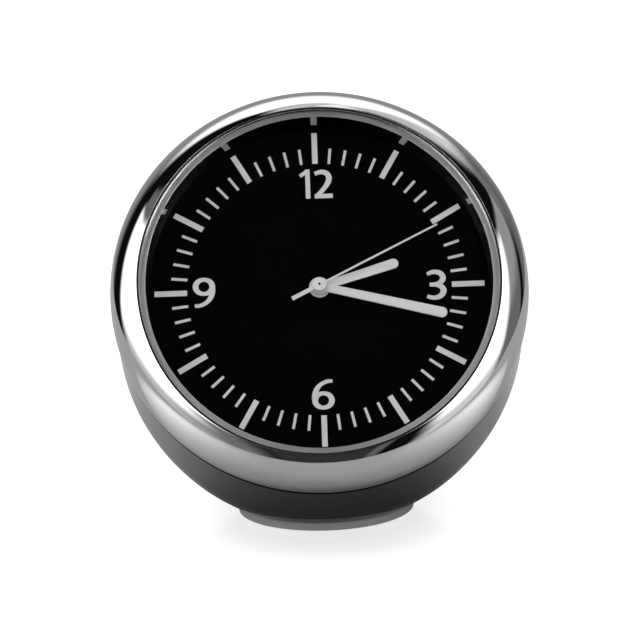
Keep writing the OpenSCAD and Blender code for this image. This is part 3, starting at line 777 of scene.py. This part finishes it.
@dataclass
class Stroke:
    """One pen stroke of a digit: points of (x, y, width), joined by a smooth curve."""

    points: tuple[Triple, ...]
    closed: bool = False
    smooth: bool = True
    steps: int = 10
    far: float = 9.0
    end_reach: float = 1.1

    def path(self) -> np.ndarray:
        """The stroke as a fine polyline.

        Returns:
            Rows of x, y and width.
        """
        rows = np.array(self.points, float)
        if not self.smooth:
            return rows
        ends = (rows[-1:], rows[:2]) if self.closed else (2 * rows[0] - rows[1], 2 * rows[-1] - rows[-2])
        around = np.vstack([ends[0], rows, ends[1]])
        result = []
        for i in range(len(around) - 3):
            a, b, c, d = around[i:i + 4]
            for t in (k / self.steps for k in range(self.steps)):
                result.append(0.5 * (2 * b + (c - a) * t + (2 * a - 5 * b + 4 * c - d) * t ** 2
                                     + (3 * b - a - 3 * c + d) * t ** 3))
        return np.array(result + [around[-2]])

    def depth(self, x: np.ndarray, y: np.ndarray) -> np.ndarray:
        """Signed distance from the stroke's edge, negative inside it.

        Args:
            x: The grid's x.
            y: The grid's y.

        Returns:
            The distances.
        """
        path = self.path()
        best = np.full(x.shape, self.far)
        for (ax, ay, aw), (bx, by, bw) in zip(path, path[1:]):
            dx, dy = bx - ax, by - ay
            t = np.clip(((x - ax) * dx + (y - ay) * dy) / max(dx * dx + dy * dy, 1e-12), 0, 1)
            best = np.minimum(best, np.hypot(x - ax - t * dx, y - ay - t * dy) - (aw + t * (bw - aw)) / 2)
        if not self.closed:
            for end, near in ((path[0], path[1]), (path[-1], path[-2])):
                ahead = (end - near)[:2] / np.hypot(*(end - near)[:2])
                beyond = (x - end[0]) * ahead[0] + (y - end[1]) * ahead[1]
                local = np.hypot(x - end[0], y - end[1]) < end[2] * self.end_reach
                best = np.where(local, np.maximum(best, beyond), best)
        return best


# Segments of a contour through a grid cell, by which of its corners are inside, with the inside on the left
CELL_STEPS = {1: [(0, 3)], 2: [(1, 0)], 3: [(1, 3)], 4: [(2, 1)], 5: [(0, 3), (2, 1)], 6: [(2, 0)],
              7: [(2, 3)], 8: [(3, 2)], 9: [(0, 2)], 10: [(1, 0), (3, 2)], 11: [(1, 2)], 12: [(3, 1)],
              13: [(0, 1)], 14: [(3, 0)]}


@dataclass
class Digit:
    """A digit drawn with strokes, outlined round their union."""

    strokes: tuple[Stroke, ...]
    trim: float = 0.03
    pitch: float = 0.03
    margin: float = 0.5
    closest: float = 0.25

    def outlines(self) -> list[Loop]:
        """Closed outlines of the strokes' union, holes turned the other way.

        Returns:
            The outlines, the largest first.
        """
        reach = np.vstack([s.path() for s in self.strokes])[:, :2]
        low, high = reach.min(0) - self.margin, reach.max(0) + self.margin
        xs, ys = np.arange(low[0], high[0], self.pitch), np.arange(low[1], high[1], self.pitch)
        x, y = np.meshgrid(xs, ys, indexing="ij")
        depth = np.min([s.depth(x, y) for s in self.strokes], axis=0) + self.trim
        depth[np.abs(depth) < 1e-6] = 1e-6
        inside = depth < 0
        case = inside[:-1, :-1] + 2 * inside[1:, :-1] + 4 * inside[1:, 1:] + 8 * inside[:-1, 1:]
        after: dict[tuple, tuple] = {}
        for i, j in zip(*np.nonzero((case > 0) & (case < 15))):
            sides = ((i, j, 0), (i + 1, j, 1), (i, j + 1, 0), (i, j, 1))
            for start, end in CELL_STEPS[int(case[i, j])]:
                after[tuple(map(int, sides[start]))] = tuple(map(int, sides[end]))

        def place(key: tuple[int, int, int]) -> Point:
            """Where the contour crosses one side of a cell.

            Args:
                key: The side's first corner, and one for an upright side.

            Returns:
                The point.
            """
            i, j, upright = key
            k, m = (i, j + 1) if upright else (i + 1, j)
            share = depth[i, j] / (depth[i, j] - depth[k, m])
            return (float(xs[i] + share * (xs[k] - xs[i])), float(ys[j] + share * (ys[m] - ys[j])))

        loops = []
        while after:
            key, loop = next(iter(after)), []
            while key in after:
                loop.append(place(key))
                key = after.pop(key)
            apart = self.pitch * self.closest
            loops.append([p for i, p in enumerate(loop) if math.dist(p, loop[i - 1]) > apart])
        return sorted(loops, key=area, reverse=True)


def area(loop: Loop) -> float:
    """Signed area of an outline, positive if counterclockwise."""
    return sum(a[0] * b[1] - b[0] * a[1] for a, b in zip(loop, loop[1:] + loop[:1])) / 2


ONE = Digit((Stroke(((0.25, 0.0, 0.5), (0.25, 3.0, 0.5)), smooth=False),
             Stroke(((-0.5, 2.30, 0.42), (-0.12, 2.55, 0.42), (0.16, 2.72, 0.45), (0.4, 2.78, 0.44)))))
TWO = Digit((Stroke(((0.07, 2.49, 0.46), (0.42, 2.62, 0.46), (0.84, 2.67, 0.52), (1.25, 2.5, 0.56),
                     (1.45, 2.1, 0.6), (1.37, 1.66, 0.58), (1.1, 1.2, 0.52), (0.72, 0.74, 0.48),
                     (0.3, 0.32, 0.44))),
             Stroke(((0.0, 0.235, 0.5), (1.79, 0.235, 0.5)), smooth=False),
             Stroke(((0.14, 0.1, 0.28), (0.2, 0.4, 0.3)), smooth=False)))
THREE = Digit((Stroke(((0.19, 2.555, 0.39), (0.55, 2.73, 0.44), (1.0, 2.78, 0.49), (1.5, 2.61, 0.56),
                       (1.72, 2.17, 0.6), (1.46, 1.73, 0.54), (0.98, 1.545, 0.46), (0.4, 1.525, 0.44))),
               Stroke(((0.7, 1.53, 0.44), (1.05, 1.5, 0.46), (1.52, 1.31, 0.56), (1.735, 0.88, 0.62),
                       (1.45, 0.39, 0.56), (0.92, 0.21, 0.48), (0.5, 0.26, 0.44), (0.135, 0.4, 0.41)))))
SIX = Digit((Stroke(((1.966, 0.915, 0.63), (1.733, 1.42, 0.56), (1.17, 1.628, 0.475), (0.607, 1.42, 0.56),
                     (0.374, 0.915, 0.63), (0.607, 0.41, 0.56), (1.17, 0.206, 0.475), (1.733, 0.41, 0.56)),
                    closed=True),
             Stroke(((0.374, 0.9, 0.63), (0.385, 1.4, 0.64), (0.55, 2.0, 0.58), (0.97, 2.5, 0.48),
                     (1.58, 2.79, 0.45), (2.13, 2.81, 0.42)))), trim=0.045)


@dataclass
class Printing:
    """Everything printed on the dial, in head millimetres."""

    start_r: float = 12.6
    hour_bar: Point = (3.1, 0.53)
    minute_bar: Point = (1.54, 0.26)
    film: float = 0.03
    two_shift: float = 0.846
    twelve_r: float = 10.56
    three_r: float = 11.12
    six_r: float = 10.54
    nine_r: float = 10.98

    def build(self) -> None:
        """Prints the bars and the numerals."""
        self.bars("hour_bars", self.hour_bar, Marks.HOURS, "hour_markers")
        self.bars("minute_bars", self.minute_bar, Marks.MINUTES, "minute_track")
        self.numerals()

    def bars(self, name: str, size: Point, which: Marks, stands_for: str) -> None:
        """Sets bars round the dial with Geometry Nodes.

        Args:
            name: The piece's name.
            size: Length and width of a bar.
            which: The hours, or the minutes between them.
            stands_for: The CAD node it replaces.
        """
        tree = bpy.data.node_groups.new(name + "_tree", "GeometryNodeTree")
        values = {"Places": 60, "Group": 5, "On Hours": bool(which.value), "Start Radius": self.start_r,
                  "Length": size[0], "Width": size[1], "Film": self.film}
        kinds = {int: "NodeSocketInt", bool: "NodeSocketBool", float: "NodeSocketFloat"}
        ids = {label: tree.interface.new_socket(
            name=label, in_out="INPUT", socket_type=kinds[type(value)]).identifier
            for label, value in values.items()}
        tree.interface.new_socket(name="Geometry", in_out="OUTPUT", socket_type="NodeSocketGeometry")
        given = node(tree, "NodeGroupInput").outputs
        index = node(tree, "GeometryNodeInputIndex").outputs[0]
        angle = product(tree, index, math_of(tree, "DIVIDE", 2 * math.pi, given["Places"]))
        spot = vector(tree, product(tree, given["Start Radius"], math_of(tree, "COSINE", angle)),
                      product(tree, given["Start Radius"], math_of(tree, "SINE", angle)))
        dots = node(tree, "GeometryNodePoints", {"Count": given["Places"], "Position": spot})
        on_hour = math_of(tree, "COMPARE", math_of(tree, "MODULO", index, given["Group"]), 0.0, 0.1)
        chosen = math_of(tree, "COMPARE", on_hour, given["On Hours"], 0.1)
        bar = node(tree, "GeometryNodeMeshCube", {
            "Size": vector(tree, given["Length"], given["Width"], given["Film"])})
        shift = vector(tree, product(tree, given["Length"], 0.5), 0.0, product(tree, given["Film"], 0.5))
        moved = node(tree, "GeometryNodeTransform", {"Geometry": bar.outputs[0], "Translation": shift})
        set_out = node(tree, "GeometryNodeInstanceOnPoints", {
            "Points": dots.outputs[0], "Selection": chosen, "Instance": moved.outputs[0],
            "Rotation": vector(tree, z=angle)})
        real = node(tree, "GeometryNodeRealizeInstances", {0: set_out.outputs[0]})
        worn = node(tree, "GeometryNodeSetMaterial", {"Geometry": real.outputs[0],
                                                      "Material": PAD_PRINT.material()})
        node(tree, "NodeGroupOutput", {"Geometry": worn.outputs[0]})
        holder = linked(name + "_source", bpy.data.meshes.new(name + "_source"))
        modifier = holder.modifiers.new("bars", "NODES")
        modifier.node_group = tree
        for label, value in values.items():
            modifier[ids[label]] = value
        bpy.context.view_layer.update()
        graph = bpy.context.evaluated_depsgraph_get()
        mesh = bpy.data.meshes.new_from_object(holder.evaluated_get(graph))
        holder.modifiers.clear()
        bpy.data.objects.remove(holder)
        mesh.transform(HEAD.matrix())
        Piece(name, Body.MODULE, "dial_print", (PAD_PRINT,), (stands_for,)).from_mesh(mesh)

    def numerals(self) -> None:
        """Raises the four numerals as one film of ink."""
        six = SIX.outlines()
        nine = [[(-x, -y) for x, y in loop] for loop in six]
        twelve = ONE.outlines() + [[(x + self.two_shift, y) for x, y in loop] for loop in TWO.outlines()]
        parts = []
        for loops, at in ((twelve, (0.0, self.twelve_r)), (THREE.outlines(), (self.three_r, 0.0)),
                          (six, (0.0, -self.six_r)), (nine, (-self.nine_r, 0.0))):
            flat = np.array([p for loop in loops for p in loop])
            dx, dy = (flat.min(0) + flat.max(0)) / 2 - at
            moved = [[(x - dx, y - dy) for x, y in loop] for loop in loops]
            solids, holes = [m for m in moved if area(m) > 0], [m for m in moved if area(m) < 0]
            parts.extend(prism([solid] + (holes if len(solids) == 1 else []), 0.0, self.film)
                         for solid in solids)
        Piece("numerals", Body.MODULE, "dial_print", (PAD_PRINT,)).from_data(joined(*parts), HEAD.matrix())


@dataclass
class Baton:
    """One tapered hand with a round tip on a round hub, in head millimetres."""

    name: str
    body: Body
    stands_for: str
    angle: float
    length: float
    root_w: float
    tip_w: float
    hub_r: float
    hole_r: float
    low: float
    thick: float = 0.15
    chamfer: float = 0.025
    tip_steps: int = 24
    hub_steps: int = 64
    hole_steps: int = 48

    def build(self) -> None:
        """Raises the hand and turns it to its angle."""
        tip_r = self.tip_w / 2
        spread = math.degrees(math.asin(self.root_w / 2 / self.hub_r))
        tip = arc((self.length - tip_r, 0.0), tip_r, -90, 90, self.tip_steps)
        hub = arc((0.0, 0.0), self.hub_r, spread, 360 - spread, self.hub_steps)
        hole = arc((0.0, 0.0), self.hole_r, 360, 0, self.hole_steps)[:-1]
        blade = prism([tip + hub, hole], self.low, self.low + self.thick, self.chamfer)
        hand = Piece(self.name, self.body, "hand_white", (HAND_PAINT,), (self.stands_for,), sharp_deg=30)
        hand.from_data(blade, HEAD.matrix(90 - self.angle))


@dataclass
class Hands:
    """The three hands as the photograph has them, seventeen minutes past two, in head millimetres."""

    hour: Baton = field(default_factory=lambda: Baton(
        "hour_baton", Body.HOUR, "hour_hand", angle=73.4, length=7.89, root_w=0.8, tip_w=0.98, hub_r=1.0,
        hole_r=0.681, low=0.35))
    minute: Baton = field(default_factory=lambda: Baton(
        "minute_baton", Body.MINUTE, "minute_hand", angle=104.7, length=12.43, root_w=0.78, tip_w=1.0,
        hub_r=0.8, hole_r=0.461, low=0.77))
    second_angle: float = 63.6
    needle_l: float = 12.75
    tail_l: float = 2.94
    needle_w: float = 0.2
    taper: float = 0.8
    tail_w: float = 0.4
    needle_low: float = 1.19
    needle_t: float = 0.1
    chamfer: float = 0.02
    boss_r: float = 0.67
    boss_h: float = 0.35
    sunk: float = 0.8
    arbor_r: float = 0.2
    dimple_r: float = 0.12
    dimple_deep: float = 0.08
    dimple_floor: float = 0.02
    slack: float = 0.005
    segments: int = 96

    def build(self) -> None:
        """Builds the three hands."""
        self.hour.build()
        self.minute.build()
        self.second()

    def second(self) -> None:
        """Needle, broad tail and turned boss with a centre pit painted dark as shade."""
        half, tail, inside = self.needle_w / 2, self.tail_w / 2, self.boss_r * self.sunk
        end = half * self.taper
        needle = [(inside, -half), (self.needle_l, -end), (self.needle_l, end), (inside, half)]
        back = [(-self.tail_l, -tail), (-inside, -tail), (-inside, tail), (-self.tail_l, tail)]
        low, top = self.needle_low, self.needle_low + self.boss_h
        pit = top - self.dimple_deep
        under = pit - self.dimple_floor
        profile = soften([(0, under), (self.arbor_r, under), (self.arbor_r, low), (self.boss_r, low),
                          (self.boss_r, top), (self.dimple_r, top), (self.dimple_r, pit), (0, pit)],
                         self.chamfer, closed=False)
        blades = joined(*(prism([blade], low, low + self.needle_t, self.chamfer) for blade in (needle, back)))
        worn = [0] * len(blades[1])
        # Faces inside the centre pit wear the dark painted shade
        bore_r, bore_low = self.dimple_r + self.slack, pit - 2 * self.slack
        for here, after in zip(profile, profile[1:]):
            in_bore = max(here[0], after[0]) < bore_r and min(here[1], after[1]) > bore_low
            worn.extend([int(in_bore)] * self.segments)
        hand = Piece("second_needle", Body.SECOND, "hand_white", (HAND_PAINT, BORE_PAINTED_SHADE),
                     ("second_hand",), sharp_deg=30)
        hand.from_data(joined(blades, lathe(profile, self.segments)),
                       HEAD.matrix(90 - self.second_angle), worn)


@dataclass
class InnerWorks:
    """CAD nodes inside the clock: the ones that a pull shows get broken edges, and all are dressed."""

    shown: tuple[tuple[str, Body, str, Finish, float], ...] = (
        ("module_case", Body.MODULE, "case_black", CASE_PLASTIC, 0.08),
        ("case_back", Body.MODULE, "case_black", CASE_PLASTIC, 0.1),
        ("stem", Body.CROWN, "screw_steel", TURNED_STEEL, 0.03),
        ("crown", Body.CROWN, "can_steel", NICKEL, 0.04),
    )
    dressed: tuple[tuple[Finish, tuple[str, ...]], ...] = (
        (DIAL_ENAMEL, ("dial",)),
        (ACETAL, ("movement_holder",)),
        (GRAINED_BRASS, ("mainplate", "train_bridge")),
        (TURNED_STEEL, ("bridge_screws", "coil_screws", "stem_detent")),
        (SOFT_IRON, ("stator", "coil_core")),
        (COPPER_WIRE, ("coil_winding",)),
        (SOLDER_MASK, ("circuit_board",)),
        (EPOXY, ("circuit_chip",)),
        (NICKEL, ("quartz_can", "battery", "battery_clip")),
        (GOLD_FLASH, ("battery_contact",)),
        (WHEEL_BRASS, ("clutch_pinion", "second_wheel", "cannon_pinion", "centre_wheel", "hour_wheel",
                       "third_wheel", "intermediate_wheel", "rotor_pinion", "minute_wheel")),
        (SINTERED, ("rotor_magnet",)),
    )
    flat_deg: float = 0.2
    edge_deg: float = 35.0
    fine_deg: float = 28.0

    def build(self) -> None:
        """Breaks the shown nodes' edges and dresses the others as they are."""
        for name, body, slot, finish, width in self.shown:
            piece = Piece(name + "_fine", body, slot, (finish,), (name,), sharp_deg=self.fine_deg)
            piece.from_mesh(self.broken(name, width))
        for finish, names in self.dressed:
            for name in names:
                for slot in frame["nodes"][name].material_slots:
                    slot.link = "OBJECT"
                    slot.material = finish.material()
                log.info("%s: dressed in %s", name, finish.name)

    def broken(self, name: str, width: float) -> bpy.types.Mesh:
        """A node's form with its sharp edges broken by a narrow chamfer.

        Args:
            name: The CAD node.
            width: The chamfer's width in millimetres.

        Returns:
            A new mesh in world metres.
        """
        work = bmesh.new()
        work.from_mesh(frame["nodes"][name].data)
        bmesh.ops.remove_doubles(work, verts=work.verts, dist=WELD)
        bmesh.ops.dissolve_limit(work, angle_limit=math.radians(self.flat_deg), verts=work.verts,
                                 edges=work.edges)
        sharp = [e for e in work.edges if e.is_manifold and e.calc_face_angle() > math.radians(self.edge_deg)]
        bmesh.ops.bevel(work, geom=sharp, offset=width * MM, offset_type="OFFSET", segments=1, profile=0.5,
                        affect="EDGES", clamp_overlap=True)
        bmesh.ops.triangulate(work, faces=work.faces)
        work.verts.index_update()
        mesh = mesh_of(name + "_fine", ([v.co for v in work.verts],
                                        [tuple(v.index for v in f.verts) for f in work.faces]))
        work.free()
        return mesh


@dataclass(frozen=True)
class SoftPanel:
    """A soft-edged panel of light round the object, in degrees; azimuth 0 is the camera's side."""

    left: float
    right: float
    low: float
    high: float
    strength: float
    blur_left: float = 4.0
    blur_right: float = 4.0
    blur_low: float = 3.0
    blur_high: float = 3.0
    lean: float = 0.0
    lean_low: float = 0.0

    def glow(self, tree: Tree, azimuth: Socket, elevation: Socket) -> Socket:
        """The panel's light in a direction.

        Args:
            tree: The world's node tree.
            azimuth: The direction's azimuth in degrees.
            elevation: Its elevation in degrees.

        Returns:
            The light's socket.
        """
        middle, half = (self.left + self.right) / 2, (self.right - self.left) / 2
        across = math_of(tree, "WRAP", math_of(tree, "SUBTRACT", azimuth, middle), 180.0, -180.0)
        lower, upper = (math_of(tree, "SUBTRACT", elevation, product(tree, across, lean))
                        for lean in (self.lean_low, self.lean))
        edges = ((across, -half, self.blur_left, 0, 1), (across, half, self.blur_right, 1, 0),
                 (lower, self.low, self.blur_low, 0, 1), (upper, self.high, self.blur_high, 1, 0))
        return product(tree, self.strength, *(ramp_of(tree, way, at - blur, at + blur, before, after, True)
                                              for way, at, blur, before, after in edges))


def level(ahead: Vector) -> tuple[Vector, Vector]:
    """Right and up for one who looks ahead with a level head."""
    right = ahead.cross(Vector((0, 0, 1))).normalized()
    return right, right.cross(ahead)


@dataclass
class Studio:
    """Light tent, pale floor and camera."""

    # Left, right, low and high edge and strength, then the edges' blurs and the lean of high and low
    panels: tuple[SoftPanel, ...] = (
        SoftPanel(-100, -33, 7, 51, 1.95, 5, 9, 7, 2, 0.2),
        SoftPanel(-94, -38, 28, 50, 1.6, 8, 8, 8, 3, 0.2),
        SoftPanel(-97, -40, -14, 14, 0.85, 8, 14, 4, 4),
        SoftPanel(-40, -17, -14, 24, 0.25, 10, 6, 4, 8),
        SoftPanel(-96, -48, 44, 58.5, 0.21, 3, 6, 3, 1.5, 0.25),
        SoftPanel(27, 70, 8, 48.5, 1.95, 5, 5, 8, 2.5, -0.16),
        SoftPanel(32, 64, 24, 44, 1.4, 6, 5, 8, 3, -0.16),
        SoftPanel(-49, -16, 19, 40, 3.4),
        SoftPanel(16, 44, 19, 40, 3.4),
        SoftPanel(-56, -18, 59, 72, 3.0, 3),
        SoftPanel(18, 56, 62, 82, 3.0, 4, 3),
        SoftPanel(30, 70, -14, 12, 1.05, 6, 6, 4, 4),
        SoftPanel(70, 107, -10, 44, 0.22, 4, 3, 4, 2, -0.15),
        SoftPanel(70, 108, 20, 44, 0.27, 4, 3, 8, 2, -0.15),
        SoftPanel(120, 228, -14, 60, 0.2, 5, 8, 3, 12),
        SoftPanel(150, 222, -14, 60, 0.2, 20, 14, 3, 12),
        SoftPanel(140, 232, 43, 80, 1.75, 14, 8, 11, 6),
        SoftPanel(150, 218, 52, 74, 1.2, 12, 8, 8, 6),
        SoftPanel(106, 122, 22, 60, 0.25, 3, 5, 10, 6),
        SoftPanel(84, 150, 49, 90, 0.85, 14, 10, 8, 3, 0.0, -0.5),
        SoftPanel(-180, 180, 82.5, 90, 0.95, 0.1, 0.1, 2.5, 3),
        SoftPanel(-12, 13, -14, 15, 0.045, 2, 2, 3, 4),
        SoftPanel(11.5, 15, -14, 20, 0.16, 1, 1, 3, 4),
    )
    dark: float = 0.006
    floor_half: float = 0.45
    floor_front: float = 0.085
    floor_far: str = "#b4b4b4"
    # Painted shade: a darker floor colour round the pad, blended in from near_mm to far_mm, the distance
    # stretched by across along x
    floor_painted_shade: str = "#787878"
    near_mm: float = 12.0
    far_mm: float = 26.0
    across: float = 1.6
    floor_gloss: float = 0.12
    # Painted shade for the camera: the lift to white is weaker near the pad and full from lift_far_mm out
    lift_near: float = 0.69
    lift_far: float = 0.87
    lift_near_mm: float = 8.5
    lift_far_mm: float = 26.0
    pool: float = 0.95
    pool_mm: Point = (57.0, 31.0)
    pool_reach_mm: float = 50.0
    distance: float = 0.6
    azimuth: float = -0.209
    elevation: float = 13.866
    roll: float = 1.929
    focal_px: float = 6304.4
    dial_px: Point = (-0.5, 30.33)
    image_px: int = 640
    sensor_mm: float = 36.0
    clip_m: Point = (0.01, 50.0)

    def build(self) -> None:
        """Sets the colour view, the light, the floor and the camera."""
        bpy.context.scene.view_settings.view_transform = "Standard"
        self.light()
        self.floor()
        self.camera()

    def light(self) -> None:
        """Lights the object with the tent's panels, and shows white where the camera looks past it."""
        world = bpy.data.worlds.new("light_tent")
        bpy.context.scene.world = world
        tree = cleared(world)
        way = node(tree, "ShaderNodeTexCoord").outputs["Generated"]
        x, y, z = node(tree, "ShaderNodeSeparateXYZ", {0: way}).outputs
        azimuth = math_of(tree, "DEGREES", math_of(tree, "ARCTAN2", x, product(tree, y, -1.0)))
        elevation = math_of(tree, "DEGREES", math_of(tree, "ARCSINE", z))
        total: Any = self.dark
        for panel in self.panels:
            total = math_of(tree, "ADD", total, panel.glow(tree, azimuth, elevation))
        tent, plain = (node(tree, "ShaderNodeBackground", {"Color": (1, 1, 1, 1), "Strength": strength})
                       for strength in (total, 1.0))
        seen = node(tree, "ShaderNodeLightPath").outputs["Is Camera Ray"]
        mixed = node(tree, "ShaderNodeMixShader", {0: seen, 1: tent.outputs[0], 2: plain.outputs[0]})
        node(tree, "ShaderNodeOutputWorld", {"Surface": mixed.outputs[0]})
        log.info("light tent: %d panels", len(self.panels))

    def floor(self) -> None:
        """Lays a pale floor, lifted to white for the camera, with painted shade round the pad in its colour
        and in its lift, and two pools of light for the chrome.
        """
        made = bpy.data.materials.new("pale_floor")
        tree = cleared(made)
        where = node(tree, "ShaderNodeTexCoord").outputs["Object"]
        seen = node(tree, "ShaderNodeLightPath").outputs["Is Camera Ray"]
        reach = vector_of(tree, "LENGTH", vector_of(tree, "MULTIPLY", where, (self.across, 1.0, 1.0)))
        # Painted shade: the floor's colour darkens towards the pad
        shade = ramp_of(tree, reach, self.near_mm * MM, self.far_mm * MM, 0.0, 1.0, True)
        colour = node(tree, "ShaderNodeMix", {
            0: shade, 6: linear(self.floor_painted_shade), 7: linear(self.floor_far)}, data_type="RGBA")
        sheet = node(tree, "ShaderNodeBsdfPrincipled", {
            "Base Color": colour.outputs[2], "Roughness": self.floor_gloss, "IOR": 1.5,
            "Specular IOR Level": product(tree, seen, 0.5)})
        # Painted shade: less lift near the pad
        raised = ramp_of(tree, reach, self.lift_near_mm * MM, self.lift_far_mm * MM,
                         self.lift_near, self.lift_far)
        pool_at = (self.pool_mm[0] * MM, self.pool_mm[1] * MM, 0.0)
        from_pool = vector_of(tree, "DISTANCE", vector_of(tree, "ABSOLUTE", where), pool_at)
        spill = ramp_of(tree, from_pool, self.pool_reach_mm * MM, 0.0, 0.0, self.pool, True)
        in_front = math_of(tree, "LESS_THAN", node(tree, "ShaderNodeSeparateXYZ", {0: where}).outputs[1], 0.0)
        unseen = product(tree, spill, in_front, math_of(tree, "SUBTRACT", 1.0, seen))
        glow = math_of(tree, "ADD", product(tree, seen, raised), unseen)
        lift = node(tree, "ShaderNodeEmission", {"Color": (1, 1, 1, 1), "Strength": glow})
        both = node(tree, "ShaderNodeAddShader", {0: sheet.outputs[0], 1: lift.outputs[0]})
        node(tree, "ShaderNodeOutputMaterial", {"Surface": both.outputs[0]})
        side, front = self.floor_half, -self.floor_front
        mesh = mesh_of("floor", ([(-side, front, 0), (side, front, 0), (side, side, 0), (-side, side, 0)],
                                 [(0, 1, 2, 3)]))
        mesh.materials.append(made)
        floor = linked("floor", mesh)
        log.info("floor: %.1f m wide", 2 * side)

    def camera(self) -> None:
        """Places the camera so that the dial falls where the photograph has it."""
        az, el, roll = (math.radians(v) for v in (self.azimuth, self.elevation, self.roll))
        back = Vector((math.sin(az) * math.cos(el), -math.cos(az) * math.cos(el), math.sin(el)))
        tilt = Matrix.Rotation(-roll, 2)
        off = tilt @ Vector(self.dial_px)
        right, up = level(-back)
        aim = (-back * self.focal_px - right * off.x - up * off.y).normalized()
        right, up = level(aim)
        turn = Matrix((right * tilt[0][0] - up * tilt[0][1], up * tilt[0][0] + right * tilt[0][1], -aim))
        data = bpy.data.cameras.new("camera")
        data.sensor_width = self.sensor_mm
        data.lens = self.focal_px * self.sensor_mm / self.image_px
        data.clip_start, data.clip_end = self.clip_m
        data.dof.use_dof = False
        made = linked("camera", data)
        made.matrix_world = (Matrix.Translation(HEAD.centre + back * self.distance)
                             @ turn.transposed().to_4x4())
        bpy.context.scene.camera = made
        log.info("camera: lens %.1f mm at %.0f mm", data.lens, self.distance / MM)


def main() -> None:
    """Builds the clock's pieces in order, then the studio."""
    logging.basicConfig(level=logging.INFO, format="%(name)s: %(message)s")
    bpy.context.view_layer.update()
    for part in (Housing(), Front(), Printing(), Hands(), InnerWorks(), Studio()):
        part.build()
        log.info("built %s", type(part).__name__)
    bpy.context.view_layer.update()


if __name__ == "__main__":
    main()
